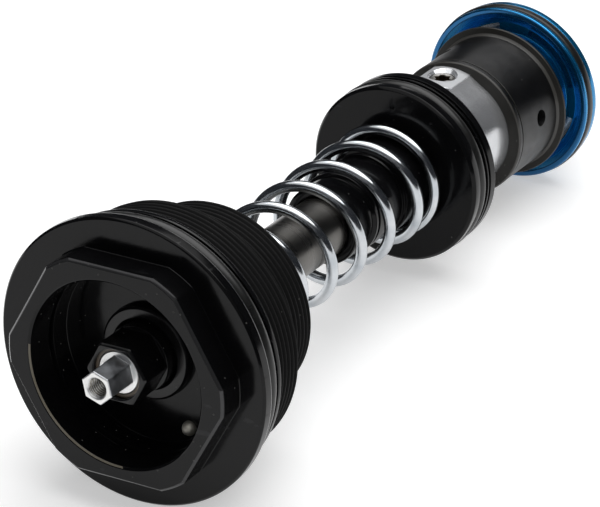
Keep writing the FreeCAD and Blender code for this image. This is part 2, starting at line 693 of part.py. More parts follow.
def valve_housing():
    """Black cup behind the body, with a flange and three oil holes."""
    housing = turned([
        (BODY_END, SPIGOT_THREAD_R + THREAD_GAP), (BODY_END, HOUSING_LIP_R - 0.2),
        (BODY_END + 0.2, HOUSING_LIP_R), (BODY_END + 0.9, HOUSING_LIP_R),
        (BODY_END + 0.9, HOUSING_R - 0.2), (BODY_END + 1.2, HOUSING_R - 0.2),
        (BODY_END + 1.2, HOUSING_R), (HOUSING_SHOULDER, HOUSING_R),
        (HOUSING_FLANGE[0], HOUSING_SHOULDER_R), (HOUSING_FLANGE[0], HOUSING_FLANGE_R - 0.1),
        (HOUSING_FLANGE[0] + 0.1, HOUSING_FLANGE_R), (HOUSING_FLANGE[0] + 0.4, HOUSING_FLANGE_R),
        (HOUSING_FLANGE[1], HOUSING_FLANGE_R - 0.8), (HOUSING_FLANGE[1], HOUSING_CAVITY_R),
        (HOUSING_WALL_END, HOUSING_CAVITY_R), (HOUSING_WALL_END, SPIGOT_THREAD_R + THREAD_GAP),
    ])
    for angle in PORT_ANGLES:
        housing = housing.cut(cross_hole(PORT_X, PORT_R, angle, 7, 12))
    return housing


def base_piston():
    """Blue dished piston with compression ports inside and refill ports outside."""
    piston = turned([
        (VALVE_SEAT, STUD_R + THREAD_GAP), (VALVE_SEAT, HUB_SEAT_R), (DISH_FLOOR, HUB_SEAT_R),
        (DISH_FLOOR, SHIM_SEAT[0]), (VALVE_SEAT, SHIM_SEAT[0]),
        (VALVE_SEAT, SHIM_SEAT[1]), (DISH_FLOOR, SHIM_SEAT[1]),
        (DISH_FLOOR, DISH_FLOOR_R), (BASE_FRONT, DISH_MOUTH_R),
        (BASE_FRONT, BASE_R - 0.2), (BASE_FRONT + 0.2, BASE_R),
        (BASE_GROOVE[0], BASE_R), (BASE_GROOVE[0], BASE_GROOVE_R),
        (BASE_GROOVE[1], BASE_GROOVE_R), (BASE_GROOVE[1], BASE_R),
        (BASE_END - 0.2, BASE_R), (BASE_END, BASE_R - 0.2), (BASE_END, STUD_R + THREAD_GAP),
    ])
    step = 360 / PORT_COUNT
    start, end = DISH_FLOOR - 1, BASE_END + 1
    for i in range(PORT_COUNT):
        piston = piston.cut(kidney(start, end, *INNER_PORTS, step * i, INNER_PORT_ANGLE))
        piston = piston.cut(kidney(start, end, *OUTER_PORTS, step * (i + 0.5), OUTER_PORT_ANGLE))
    return piston


def base_piston_seal():
    return turned([
        (BASE_GROOVE[0] + 0.05, BASE_GROOVE_R), (BASE_GROOVE[0] + 0.05, BASE_SEAL_R - 0.4),
        (BASE_GROOVE[0] + 0.4, BASE_SEAL_R), (BASE_GROOVE[1] - 0.4, BASE_SEAL_R),
        (BASE_GROOVE[1] - 0.05, BASE_SEAL_R - 0.4), (BASE_GROOVE[1] - 0.05, BASE_GROOVE_R),
    ])


def compression_shims():
    """Stack of thin discs, the largest of them on the piston's seat."""
    thickness = (VALVE_SEAT - STUD_SHOULDER) / len(SHIM_RADII)
    shims = []
    for i, radius in enumerate(SHIM_RADII):
        end = VALVE_SEAT - thickness * i
        shims.append(tube(end - thickness, end, radius, STUD_R + THREAD_GAP))
    return Part.makeCompound(shims)


def check_plate():
    """Thin refill plate: an outer ring on three arms from a guide ring."""
    end = BASE_END + CHECK_THICKNESS
    plate = tube(BASE_END, end, CHECK_PLATE_R, CHECK_PLATE_INNER_R)
    plate = plate.fuse(tube(BASE_END, end, CHECK_HUB_R, GUIDE_R + 0.08))
    arm_corner = Vector(BASE_END, CHECK_HUB_R - 0.2, -CHECK_ARM_WIDTH / 2)
    arm_length = CHECK_PLATE_INNER_R - CHECK_HUB_R + 0.4
    for i in range(3):
        arm = Part.makeBox(CHECK_THICKNESS, arm_length, CHECK_ARM_WIDTH, arm_corner)
        arm.rotate(ORIGIN, X_AXIS, 45 + 120 * i)
        plate = plate.fuse(arm)
    return plate.removeSplitter()


def check_spring():
    start = BASE_END + CHECK_THICKNESS
    return even_coil(start, GUIDE_FLANGE[0], 2.25, CHECK_SPRING_R, CHECK_SPRING_WIRE_R)


def check_guide():
    """Flanged sleeve that guides the check plate and backs its spring."""
    return turned([
        (BASE_END, STUD_R + THREAD_GAP), (BASE_END, GUIDE_R), (GUIDE_FLANGE[0], GUIDE_R),
        (GUIDE_FLANGE[0], GUIDE_FLANGE_R), (GUIDE_FLANGE[1], GUIDE_FLANGE_R),
        (GUIDE_FLANGE[1], STUD_R + THREAD_GAP),
    ])


def valve_nut():
    """Hexagon nut with turned corners that clamps the valve stack."""
    corner_r = NUT_AF / math.sqrt(3)
    start = GUIDE_FLANGE[1]
    nut = hex_bar(start, NUT_END, NUT_AF, 30).common(turned([
        (start, 0), (start, corner_r - 0.5), (start + 0.3, corner_r),
        (NUT_END - 0.3, corner_r), (NUT_END, corner_r - 0.5), (NUT_END, 0),
    ]))
    return nut.cut(tube(start - 1, NUT_END + 1, STUD_R + THREAD_GAP))


def detent_ball(angle):
    return Part.makeSphere(DETENT_BALL_R, at_angle(DETENT_RADIUS, angle, DETENT_BALL_X))


def detent_spring(angle):
    """Small spring behind a detent ball, wound on X and then moved aside."""
    start = DETENT_BALL_X + DETENT_BALL_R + 0.05
    spring = even_coil(start, DETENT_BORE_END - 0.05, 5, 0.65, 0.15)
    spring.translate(at_angle(DETENT_RADIUS, angle, 0))
    return spring


NODES = {
    make.__name__: make
    for make in (
        top_cap, cap_seal, adjuster_plate, high_speed_adjuster, high_speed_seal,
        low_speed_wiper, low_speed_adjuster, low_speed_clip, low_speed_rod,
        high_speed_tube, preload_keys, preload_cup, high_speed_spring, pressure_ring,
        shaft_seal, damper_shaft, piston_spring, floating_piston, piston_seal,
        piston_hub, hub_cap, hub_seals, hub_bushes, hub_clip, valve_body, bleed_screw,
        valve_housing, base_piston, base_piston_seal, compression_shims, check_plate,
        check_spring, check_guide, valve_nut,
    )
}

os.makedirs("parts", exist_ok=True)
shapes = {name: make() for name, make in NODES.items()}
for number, angle in enumerate(DETENT_ANGLES, 1):
    shapes[f"detent_ball_{number}"] = detent_ball(angle)
    shapes[f"detent_spring_{number}"] = detent_spring(angle)
for name, shape in shapes.items():
    if not shape.isValid() or shape.Volume <= 0:
        raise ValueError(f"{name} isn't a sound solid")
    shape.exportStep(f"parts/{name}.step")
    print(f"{name}: {len(shape.Solids)} solid, {shape.Volume:.1f} mm3")
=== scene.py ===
import json
import math
import bmesh
import bpy
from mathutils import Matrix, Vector

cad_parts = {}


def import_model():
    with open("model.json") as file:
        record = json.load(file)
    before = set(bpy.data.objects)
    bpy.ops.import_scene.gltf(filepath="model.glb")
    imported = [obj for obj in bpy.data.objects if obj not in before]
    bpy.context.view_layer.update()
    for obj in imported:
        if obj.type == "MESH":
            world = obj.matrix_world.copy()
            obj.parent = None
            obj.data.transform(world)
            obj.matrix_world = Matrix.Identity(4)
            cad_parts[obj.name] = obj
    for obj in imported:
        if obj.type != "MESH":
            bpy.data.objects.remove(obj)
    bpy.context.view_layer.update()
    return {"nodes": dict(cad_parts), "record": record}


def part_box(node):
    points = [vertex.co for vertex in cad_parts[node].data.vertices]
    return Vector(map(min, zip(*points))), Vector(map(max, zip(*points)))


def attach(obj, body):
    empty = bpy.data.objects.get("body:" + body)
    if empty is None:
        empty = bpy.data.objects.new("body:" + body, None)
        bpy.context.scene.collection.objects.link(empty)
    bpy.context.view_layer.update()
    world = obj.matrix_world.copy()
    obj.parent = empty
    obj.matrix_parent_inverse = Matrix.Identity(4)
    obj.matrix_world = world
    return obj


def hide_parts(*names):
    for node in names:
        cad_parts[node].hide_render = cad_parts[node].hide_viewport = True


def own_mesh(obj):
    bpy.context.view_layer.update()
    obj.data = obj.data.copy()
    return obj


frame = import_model()

# Sizes are millimetres in the frame's own axes: the part lies along +X, and an
# angle is measured about X in degrees, from +Y towards +Z.
MM = 0.001
SEGMENTS = 288
ROUNDING_STEPS = 2
EDGE = 0.06

FLANGE_R = 20.0
FLANGE_FRONT = -2.0
BOSS_FRONT = -6.0
BOSS_AF = 30.0
BOSS_CORNER_R = 16.3
BOSS_ANGLE = 28.5
SEAT_RELIEF_R = 19.35
SEAT_RELIEF_DEPTH = 0.25
PILOT_R = 18.9
PILOT_END = 3.9
CAP_GROOVE = (0.6, 3.0)
CAP_GROOVE_R = 17.0
CAP_SEAL_WIRE_R = 1.1
LEG_THREAD_R = 17.8
LEG_THREAD_END = 10.6
LEG_THREAD_DEPTH = 0.45
TUBE_THREAD_R = 14.1
TUBE_THREAD_DEPTH = 0.42
CAP_PITCH = 0.86
CAP_END = 19.6
SKIRT_BORE_R = 9.2
SPRING_SEAT = 11.6
SPIGOT_R = 6.3
SPIGOT_END = 17.0
ADJUSTER_POCKET_END = 5.6
ADJUSTER_POCKET_R = 6.0
SHAFT_R = 4.25
SHAFT_FRONT = 9.0
SHAFT_END = 78.9
SHAFT_BORE_R = 2.4
FIT_GAP = 0.03

CUP_R = 12.9
CUP_FLOOR = 2.4
CUP_GROOVE = (-1.6, -0.6)
CUP_GROOVE_R = 13.7
PLATE_R = 6.5
PLATE_FRONT = 1.1
PLATE_END = 4.15
PLATE_HOLE_R = 4.8
DETENT_RADIUS = 11.3
DETENT_ANGLES = (-121.6, 58.4)
DETENT_BORE_R = 1.04

HIGH_HEX_AF = 8.0
HIGH_HEX_ANGLE = 28.0
HIGH_FRONT = -5.6
HIGH_HEX_END = -0.5
HIGH_COLLAR_R = 4.6
HIGH_COLLAR_END = 4.25
HIGH_FLANGE_R = 5.9
HIGH_FLANGE_END = 5.5
HIGH_STEM_R = 3.9
HIGH_STEM_END = 8.9
HIGH_BORE_R = 3.04
ROD_BORE_R = 2.26
CLIP_POCKET = (0.5, 3.2)
CLIP_POCKET_R = 3.5
WIPER_POCKET_END = -4.4
WIPER_POCKET_R = 3.45
LOW_HEX_AF = 4.1
LOW_HEX_ANGLE = 47.0
LOW_FRONT = -9.9
LOW_DISC_FRONT = -4.9
LOW_STEM_R = 3.0
LOW_COLLAR = (0.6, 1.8)
LOW_COLLAR_R = 3.4
LOW_ROD_HOLE_R = 1.09
LOW_ROD_HOLE_FRONT = -2.2
KNOB_SCREW_R = 1.25
KNOB_SCREW_PITCH = 0.4
KNOB_SCREW_END = -2.9

WIRE_R = 0.8
SPRING_R = 7.65
SPRING_PITCH = 7.61
DEAD_PITCH = 2.05
DEAD_TURNS = 1.0
RAMP_TURNS = 0.25
SPRING_PHASE_X = 34.27
SPRING_PHASE = 147.8

PISTON_R = 12.95
PISTON_FRONT = 64.3
PISTON_END = 70.5
PISTON_CHAMFER = 0.4
PISTON_GROOVE = (65.9, 68.0)
PISTON_GROOVE_R = 11.0
PISTON_SEAL_WIRE_R = 1.0
PISTON_SEAL_R = 12.05
WITNESS_GROOVE = (68.35, 68.85)
WITNESS_DEPTH = 0.6
DIMPLE_RADIUS = 10.1
DIMPLE_ANGLE = 88.0
# Mouth radius, depth and tip radius
DIMPLE_CONE = (0.62, 0.75, 0.12)
HUB_R = 6.0
HUB_SHOULDER_R = 6.4
HUB_NOSE_R = 5.6
HUB_NOSE_FRONT = 44.6
HUB_FRONT = 49.0
HUB_SHOULDER = 57.0
HUB_END = 70.3
HUB_GROOVES = ((50.1, 50.5), (56.0, 56.4))
HUB_GROOVE_DEPTH = 0.2
HUB_RIB = (58.0, 62.0)
HUB_RIB_R = 4.5
HUB_CAP_END = 52.2
BUSH_R = 5.0

BODY_R = 8.25
BODY_FRONT = 71.0
BODY_END = 82.5
PAD_FRONT = 76.4
PAD_Y = 1.1
PAD_TOP = 9.2
PAD_CROWN_R = 8.3
PAD_WIDTH = 5.9
PAD_CORNER_R = 1.0
PAD_FOOT_R = 0.4
PAD_EDGE = 0.05
PAD_FACET_ANGLE = 123.0
PAD_FACET_RUN_IN = 1.2
PAD_LOWEST_ANGLE = 40.0
BLEED_X = 79.7
BLEED_R = 1.5
BLEED_HEAD_R = 1.74
BLEED_HEAD = (7.3, 8.62)
BLEED_BOTTOM = 5.4
BLEED_MOUTH_R = 2.3
SOCKET_R = 1.1
SOCKET_LOBE = 0.15
SOCKET_DEPTH = 1.0
HOUSING_R = 10.0
HOUSING_LIP_R = 10.05
HOUSING_CAVITY_R = 8.6
HOUSING_SHOULDER_R = 10.35
HOUSING_SHOULDER = 93.45
HOUSING_FLANGE_R = 11.2
HOUSING_FLANGE = (93.8, 95.0)
PORT_X = 89.1
PORT_R = 1.2
PORT_ANGLES = (172.0, 52.0, -68.0)
HOUSING_FLOOR = 84.3
SHAFT_SOCKET_END = 79.0
STUD_R = 4.0
STUD_SHOULDER_R = 5.0
STUD_SHOULDER = 96.5
STUD_END = 110.0
OIL_BORE_R = 2.3
OIL_BORE_END = 90.0
BLEED_HOLE_R = 0.8

BASE_R = 12.95
BASE_FRONT = 96.9
BASE_END = 100.2
BASE_GROOVE = (97.6, 99.1)
BASE_GROOVE_R = 12.0
BASE_SEAL_R = 13.1
BASE_LIP_R = 12.2
DISH_R = 10.4
DISH_FLOOR = 98.7
VALVE_SEAT = 97.4
HUB_SEAT_R = 5.3
SHIM_SEAT = (8.0, 8.8)
INNER_PORTS = (5.9, 7.5)
INNER_PORT_ANGLE = 58
OUTER_PORTS = (9.3, 10.2)
OUTER_PORT_ANGLE = 62
GUIDE_FLANGE = (104.0, 104.8)
NUT_AF = 12.0
NUT_END = 108.8

CAMERA_PLACE = (-394.518, -264.098, 247.651)
CAMERA_LOOK = (0.76670, 0.46679, -0.44077)
CAMERA_LENS = 252.0


# Meshes

def hexagon(across_flats, flat_angle, corner_r=None):
    """The radius of a hexagon at an angle, with its corners turned down."""
    limit = corner_r or across_flats / math.sqrt(3)

    def radius(angle):
        off = (angle - flat_angle + 30) % 60 - 30
        return min(limit, across_flats / 2 / math.cos(math.radians(off)))

    return radius


def inset(radius, amount):
    return lambda angle: radius(angle) - amount


def at(value, angle):
    return value(angle) if callable(value) else value


def rounded(corners, bevels, closed):
    """The corners with each one cut back by its bevel and curved."""
    out = []
    count = len(corners)
    for i, corner in enumerate(corners):
        bevel = bevels[i]
        if not bevel or (not closed and i in (0, count - 1)):
            out.append(corner)
            continue
        before = corners[i - 1] - corner
        after = corners[(i + 1) % count] - corner
        start = corner + before * min(0.45, bevel / max(before.length, 1e-6))
        end = corner + after * min(0.45, bevel / max(after.length, 1e-6))
        for step in range(ROUNDING_STEPS + 1):
            t = step / ROUNDING_STEPS
            out.append(start * (1 - t) ** 2 + corner * (2 * t * (1 - t)) + end * t ** 2)
    return out


def columns_for(*corner_angles, count=SEGMENTS):
    """Even angles round the axis, with the nearest moved onto each corner."""
    angles = [360 * i / count for i in range(count)]
    for corner in corner_angles:
        i = round(corner % 360 * count / 360) % count
        angles[i] = corner % 360 if i or corner % 360 < 180 else corner % 360 - 360
    return angles


def hex_corners(across_flats, flat_angle, corner_r):
    """The angles at which a hexagon's flats meet its turned corners."""
    half = math.degrees(math.acos(across_flats / 2 / corner_r))
    return [flat_angle + 60 * i + side * half for i in range(6) for side in (-1, 1)]


def polar(name, outline, angles=None, closed=True):
    """A mesh swept about X. Each outline entry is (x, radius[, bevel]), and x
    and radius may be functions of the angle. An open outline ends on the axis."""
    angles = angles or columns_for()
    rows = []
    for angle in angles:
        corners = [Vector((at(p[0], angle), at(p[1], angle))) for p in outline]
        bevels = [p[2] if len(p) > 2 else 0 for p in outline]
        rows.append(rounded(corners, bevels, closed))
    height = len(rows[0])
    vertices = []
    for angle, row in zip(angles, rows):
        turn = math.radians(angle)
        for x, radius in row:
            vertices.append((x * MM, radius * math.cos(turn) * MM, radius * math.sin(turn) * MM))
    faces = []
    spans = height if closed else height - 1
    for i in range(len(angles)):
        this, following = i * height, (i + 1) % len(angles) * height
        for j in range(spans):
            k = (j + 1) % height
            faces.append((this + j, following + j, following + k, this + k))
    obj = built(name, vertices, faces)
    if not closed:
        weld(obj)
    return obj


def add(name, mesh):
    obj = bpy.data.objects.new(name, mesh)
    bpy.context.collection.objects.link(obj)
    return obj


def built(name, vertices, faces):
    mesh = bpy.data.meshes.new(name)
    mesh.from_pydata(vertices, [], faces)
    return add(name, mesh)


def weld(obj):
    """Joins the vertices that meet on the axis and drops empty faces."""
    work = bmesh.new()
    work.from_mesh(obj.data)
    bmesh.ops.remove_doubles(work, verts=work.verts, dist=1e-7)
    bmesh.ops.dissolve_degenerate(work, edges=work.edges, dist=1e-8)
    work.to_mesh(obj.data)
    work.free()


def outward(obj):
    work = bmesh.new()
    work.from_mesh(obj.data)
    bmesh.ops.recalc_face_normals(work, faces=work.faces)
    work.to_mesh(obj.data)
    work.free()


def drill(obj, cutters):
    """Cuts the cutters out of the object for good."""
    for cutter in cutters:
        outward(cutter)
        cut = obj.modifiers.new("cut", "BOOLEAN")
        cut.operation = "DIFFERENCE"
        cut.solver = "EXACT"
        cut.object = cutter
    bpy.context.view_layer.update()
    graph = bpy.context.evaluated_depsgraph_get()
    mesh = bpy.data.meshes.new_from_object(obj.evaluated_get(graph))
    obj.modifiers.clear()
    obj.data = mesh
    for cutter in cutters:
        bpy.data.objects.remove(cutter)


def finish_piece(obj, body, slot, *nodes, material=None, crease=72):
    """Smooth shading, the slot's material or one of its own, a body to ride on and
    the nodes replaced."""
    outward(obj)
    for face in obj.data.polygons:
        face.use_smooth = True
    obj.data.set_sharp_from_angle(angle=math.radians(crease))
    shade = obj.modifiers.new("flat faces stay flat", "WEIGHTED_NORMAL")
    shade.mode = "FACE_AREA_WITH_ANGLE"
    shade.weight = 100
    shade.keep_sharp = True
    obj.data.materials.clear()
    obj.data.materials.append(material or FINISHES[slot])
    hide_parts(*nodes)
    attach(obj, body)
    return obj


def thread(start, end, major, depth, pitch, rows_per_pitch=10, inside=False):
    """Outline rows of a right-hand thread whose depth fades in at both ends."""
    rows = round((end - start) / pitch * rows_per_pitch)
    way = 1 if inside else -1
    slope = 1.7
    root = 0.35

    def radius_at(x):
        fade = min(1, (x - start) / pitch * 2, (end - x) / pitch * 2)

        def radius(angle):
            phase = (x / pitch - angle / 360) % 1
            cut = min(1, max(0, slope * abs(2 * phase - 1) - root))
            return major + way * depth * (1 - fade * (1 - cut))

        return radius

    places = [start + (end - start) * i / rows for i in range(rows + 1)]
    return [(x, radius_at(x)) for x in places]


def groove(span, rim_r, floor_r, floor_bevel=0):
    """Outline rows of a groove cut in from a rim."""
    start, end = span
    return [(start, rim_r, EDGE), (start, floor_r, floor_bevel),
            (end, floor_r, floor_bevel), (end, rim_r, EDGE)]


def cylinder(name, start, along, radius, depth, tip_radius=None, sides=48):
    """A closed cylinder or cone from a point, along a direction, for cutting."""
    mesh = bpy.data.meshes.new(name)
    work = bmesh.new()
    bmesh.ops.create_cone(work, cap_ends=True, segments=sides, radius1=radius * MM,
                          radius2=(radius if tip_radius is None else tip_radius) * MM, depth=depth * MM)
    turn = Vector((0, 0, 1)).rotation_difference(along).to_matrix()
    middle = (Vector(start) + Vector(along) * depth / 2) * MM
    for vertex in work.verts:
        vertex.co = turn @ vertex.co + middle
    work.to_mesh(mesh)
    work.free()
    return add(name, mesh)


def out_at(angle):
    """The outward direction at an angle about X."""
    return Vector((0, math.cos(math.radians(angle)), math.sin(math.radians(angle))))


def kidney(name, start, end, inner, outer, middle, width, steps=24):
    """A closed curved slot along X, for cutting."""
    angles = [middle - width / 2 + width * i / steps for i in range(steps + 1)]
    rim = [(outer, a) for a in angles] + [(inner, a) for a in reversed(angles)]
    vertices = [tuple((out_at(a) * r + Vector((x, 0, 0))) * MM) for x in (start, end) for r, a in rim]
    count = len(rim)
    faces = [tuple(range(count)), tuple(range(2 * count - 1, count - 1, -1))]
    faces += [(i, (i + 1) % count, count + (i + 1) % count, count + i) for i in range(count)]
    return built(name, vertices, faces)


def torus(name, x, centre_r, wire_r, sides=24):
    turns = [2 * math.pi * i / sides for i in range(sides)]
    return polar(name, [(x + wire_r * math.cos(t), centre_r + wire_r * math.sin(t)) for t in turns])


def wound(name, turns, place, radius, wire_r, start_angle, per_turn=60, sides=20):
    """A round wire wound about X, with rounded ends; place gives x at a turn."""
    count = round(turns * per_turn)
    dome = 0.3 * wire_r
    ends = [0.0, 0.55, 0.85, 1.0]
    rows = [(0, size) for size in ends] + [(turns * i / count, 1.0) for i in range(1, count)]
    rows += [(turns, size) for size in reversed(ends)]

    def point(turn):
        return out_at(start_angle + 360 * turn) * radius + Vector((place(turn), 0, 0))

    vertices = []
    step = 1e-4
    for i, (turn, size) in enumerate(rows):
        centre = point(turn)
        way = (point(turn + step) - point(turn - step)).normalized()
        centre += way * dome * (-size if i > len(rows) / 2 else size)
        out = out_at(start_angle + 360 * turn)
        side = way.cross(out).normalized()
        out = side.cross(way)
        for k in range(sides):
            turn_k = 2 * math.pi * k / sides
            spot = centre + (out * math.cos(turn_k) + side * math.sin(turn_k)) * wire_r * size
            vertices.append(tuple(spot * MM))
    faces = []
    for i in range(len(rows) - 1):
        for k in range(sides):
            n = (k + 1) % sides
            faces.append((i * sides + k, i * sides + n, (i + 1) * sides + n, (i + 1) * sides + k))
    obj = built(name, vertices, faces)
    weld(obj)
    return obj


# Materials

class Nodes:
    """A short way to write the node tree of a material, or of the world."""

    def __init__(self, name, owners=bpy.data.materials, shader="Principled BSDF"):
        self.owner = owners.new(name)
        self.owner.use_nodes = True
        self.tree = self.owner.node_tree
        self.shader = self.tree.nodes[shader]

    def add(self, kind, inputs=None, **settings):
        node = self.tree.nodes.new("ShaderNode" + kind)
        for key, value in settings.items():
            setattr(node, key, value)
        for key, value in (inputs or {}).items():
            if isinstance(value, bpy.types.NodeSocket):
                self.tree.links.new(value, node.inputs[key])
            else:
                node.inputs[key].default_value = value
        return node

    def math(self, operation, *values):
        return self.add("Math", dict(enumerate(values)), operation=operation).outputs[0]

    def above(self, value, limit):
        return self.math("GREATER_THAN", value, limit)

    def below(self, value, limit):
        return self.math("LESS_THAN", value, limit)

    def times(self, a, b):
        return self.math("MULTIPLY", a, b)

    def part(self, vector, axis):
        return self.add("SeparateXYZ", {0: vector}).outputs[axis]

    def seen(self):
        """1 where the camera, a reflection or glass looks, and 0 for other light."""
        path = self.add("LightPath").outputs
        return self.math("MAXIMUM", path["Is Camera Ray"],
                         self.math("MAXIMUM", path["Is Glossy Ray"], path["Is Transmission Ray"]))

    def link(self, socket, name):
        self.tree.links.new(socket, self.shader.inputs[name])

    def plain(self, name, value):
        self.shader.inputs[name].default_value = value

    def coordinate(self, name):
        return self.add("TexCoord").outputs[name]

    def turned_space(self):
        """(x, distance from the axis), so that noise runs round like a tool mark."""
        place = self.coordinate("Object")
        split = self.add("SeparateXYZ", {0: place})
        flat = self.add("CombineXYZ", {1: split.outputs["Y"], 2: split.outputs["Z"]})
        distance = self.add("VectorMath", {0: flat.outputs[0]}, operation="LENGTH").outputs["Value"]
        return self.add("CombineXYZ", {0: split.outputs["X"], 1: distance}).outputs[0], place

    def turned_sheen(self, amount):
        """Highlights stretched across the tool marks that run round the X axis."""
        self.plain("Anisotropic", amount)
        self.plain("Anisotropic Rotation", 0.25)
        self.link(self.add("Tangent", direction_type="RADIAL", axis="X").outputs[0], "Tangent")

    def noise(self, vector, scale, detail=2.0, rough=0.5):
        node = self.add("TexNoise", {"Vector": vector, "Scale": scale, "Detail": detail, "Roughness": rough})
        return node.outputs["Fac"]

    def ramp(self, factor, *stops):
        """A colour ramp; each stop is (position, colour or grey)."""
        node = self.add("ValToRGB", {"Fac": factor})
        elements = node.color_ramp.elements
        while len(elements) < len(stops):
            elements.new(0.5)
        for element, (position, value) in zip(elements, stops):
            element.position = position
            element.color = (*value, 1) if isinstance(value, tuple) else (value, value, value, 1)
        return node.outputs["Color"]

    def mix(self, factor, a, b):
        node = self.add("Mix", {"Factor": factor, 6: a, 7: b}, data_type="RGBA")
        return node.outputs[2]

    def bump(self, height, strength, distance):
        node = self.add("Bump", {"Height": height, "Strength": strength, "Distance": distance})
        self.link(node.outputs["Normal"], "Normal")


def tint(colour, factor):
    return tuple(min(1, c * factor) for c in colour)


def scratches(nodes, place):
    """A mask of short fine lines in a few directions."""
    masks = []
    for turn, scale in ((0.5, 900.0), (-0.9, 1300.0), (1.7, 700.0)):
        moved = nodes.add("Mapping", {"Vector": place, "Rotation": (turn, turn * 1.7, turn * 0.6),
                                      "Scale": (1.0, 0.035, 0.12)}).outputs[0]
        lines = nodes.noise(moved, scale * 6, 1.0)
        patch = nodes.noise(place, scale / 6 + 40 * turn, 1.0)
        masks.append(nodes.times(nodes.above(lines, 0.74), nodes.above(patch, 0.56)))
    return nodes.math("MAXIMUM", masks[0], nodes.math("MAXIMUM", masks[1], masks[2]))


def specks(nodes, place, scale, size):
    """A mask of sparse dust specks."""
    cells = nodes.add("TexVoronoi", {"Vector": place, "Scale": scale})
    near = nodes.below(cells.outputs["Distance"], size)
    some = nodes.add("SeparateColor", {0: cells.outputs["Color"]}).outputs[0]
    return nodes.times(near, nodes.above(some, 0.72))


def anodised_black(name, colour=(0.0034, 0.0034, 0.0038), gloss=(0.10, 0.19), marks=0.03, specular=0.28,
                   face_colour=None, is_cap=False):
    """Glossy black anodising with fine tool marks, hairlines and dust. A face
    colour gives it rougher front faces with a painted highlight on their chamfers,
    and the cap has dust and bright rubbed edges of its own, with a painted glint low on the cup's mouth."""
    nodes = Nodes(name)
    turned, place = nodes.turned_space()
    cloud = nodes.noise(place, 160.0, 4.0, 0.6)
    rings = nodes.noise(turned, 9000.0, 3.0, 0.7)
    base = nodes.ramp(cloud, (0.3, tint(colour, 0.8)), (0.7, tint(colour, 1.25)))
    rough = nodes.ramp(nodes.noise(place, 420.0, 5.0, 0.65), (0.32, gloss[0]), (0.72, gloss[1]))
    if face_colour:
        base, rough = turned_faces(nodes, place, rings, base, rough, face_colour)
    wear_and_painted_glint = nodes.times(scratches(nodes, place), 0.15)
    base = nodes.mix(wear_and_painted_glint, base, (0.09, 0.09, 0.095, 1))
    motes = nodes.times(specks(nodes, place, 700.0, 0.08), 0.35)
    if is_cap:
        out = nodes.part(turned, "Y")
        base, motes = cup_dust_and_mouth_glint(nodes, place, out, base, motes)
        base, rough = cap_edges(nodes, nodes.part(place, "X"), out, base, rough)
    nodes.link(nodes.mix(motes, base, (0.16, 0.16, 0.15, 1)), "Base Color")
    nodes.plain("Specular IOR Level", specular)
    nodes.link(nodes.mix(motes, rough, (0.75, 0.75, 0.75, 1)), "Roughness")
    nodes.bump(nodes.math("ADD", rings, nodes.times(wear_and_painted_glint, -2.0)), marks, 0.00002)
    return nodes.owner


def turned_faces(nodes, place, rings, base, rough, colour):
    """A rough turned finish on the faces that look along -X, and a painted highlight
    as a pale tone on the chamfers. The walls of the oil holes keep the plain finish."""
    nodes.turned_sheen(0.8)
    from_port = nodes.math("SUBTRACT", nodes.part(place, "X"), PORT_X * MM)
    clear = nodes.above(nodes.math("ABSOLUTE", from_port), 3 * MM)
    facing = nodes.times(nodes.times(nodes.part(nodes.coordinate("Normal"), "X"), -1.0), clear)
    faced = nodes.ramp(facing, (0.75, 0.0), (0.92, 1.0))
    grain = nodes.ramp(rings, (0.3, tint(colour, 0.6)), (0.7, tint(colour, 1.4)))
    # Painted highlight: the chamfers between the faces and the sides get a pale tone.
    edge = nodes.ramp(facing, (0.28, 0.0), (0.36, 1.0), (0.80, 1.0), (0.86, 0.0))
    base = nodes.mix(edge, nodes.mix(faced, base, grain), (0.058, 0.056, 0.052, 1))
    return base, nodes.mix(faced, rough, (0.52, 0.52, 0.52, 1))


def cup_dust_and_mouth_glint(nodes, place, out, base, motes):
    """More dust low in the cap's cup, and a painted highlight, a pale glint, low on the cup's mouth."""
    low = nodes.math("SUBTRACT", nodes.part(place, "Y"), nodes.part(place, "Z"))
    in_cup = nodes.times(nodes.below(out, (CUP_R + 0.1) * MM), nodes.above(low, 6 * MM))
    motes = nodes.math("MAXIMUM", motes, nodes.times(in_cup, specks(nodes, place, 1100.0, 0.11)))
    mouth = nodes.times(nodes.below(nodes.part(place, "X"), (BOSS_FRONT + 0.28) * MM),
                       nodes.below(out, (CUP_R + 0.22) * MM))
    # Painted highlight: the lower part of the cup's mouth is coloured pale, as if it caught the light.
    wear_and_painted_glint = nodes.times(mouth, nodes.above(low, 12 * MM))
    return nodes.mix(wear_and_painted_glint, base, (0.20, 0.18, 0.14, 1)), motes


def cap_edges(nodes, x, out, base, rough):
    """Bright rubbed edges on the boss and the flange, and duller threads."""
    rear = nodes.times(nodes.above(x, -0.42 * MM), nodes.above(out, (SEAT_RELIEF_R + 0.1) * MM))
    bevel = nodes.math("COMPARE", x, (BOSS_FRONT + 0.17) * MM, 0.155 * MM)
    front = nodes.times(bevel, nodes.above(out, (BOSS_AF / 2 - 0.4) * MM))
    edges = nodes.math("MAXIMUM", rear, nodes.times(front, 0.6))
    nodes.link(edges, "Metallic")
    threads = nodes.above(x, PILOT_END * MM)
    base = nodes.mix(nodes.times(threads, 0.6), base, (0.001, 0.001, 0.001, 1))
    dulled = nodes.mix(nodes.times(threads, 0.9), rough, (0.8, 0.8, 0.8, 1))
    return nodes.mix(edges, base, (0.09, 0.09, 0.092, 1)), nodes.mix(edges, dulled, (0.08, 0.08, 0.08, 1))


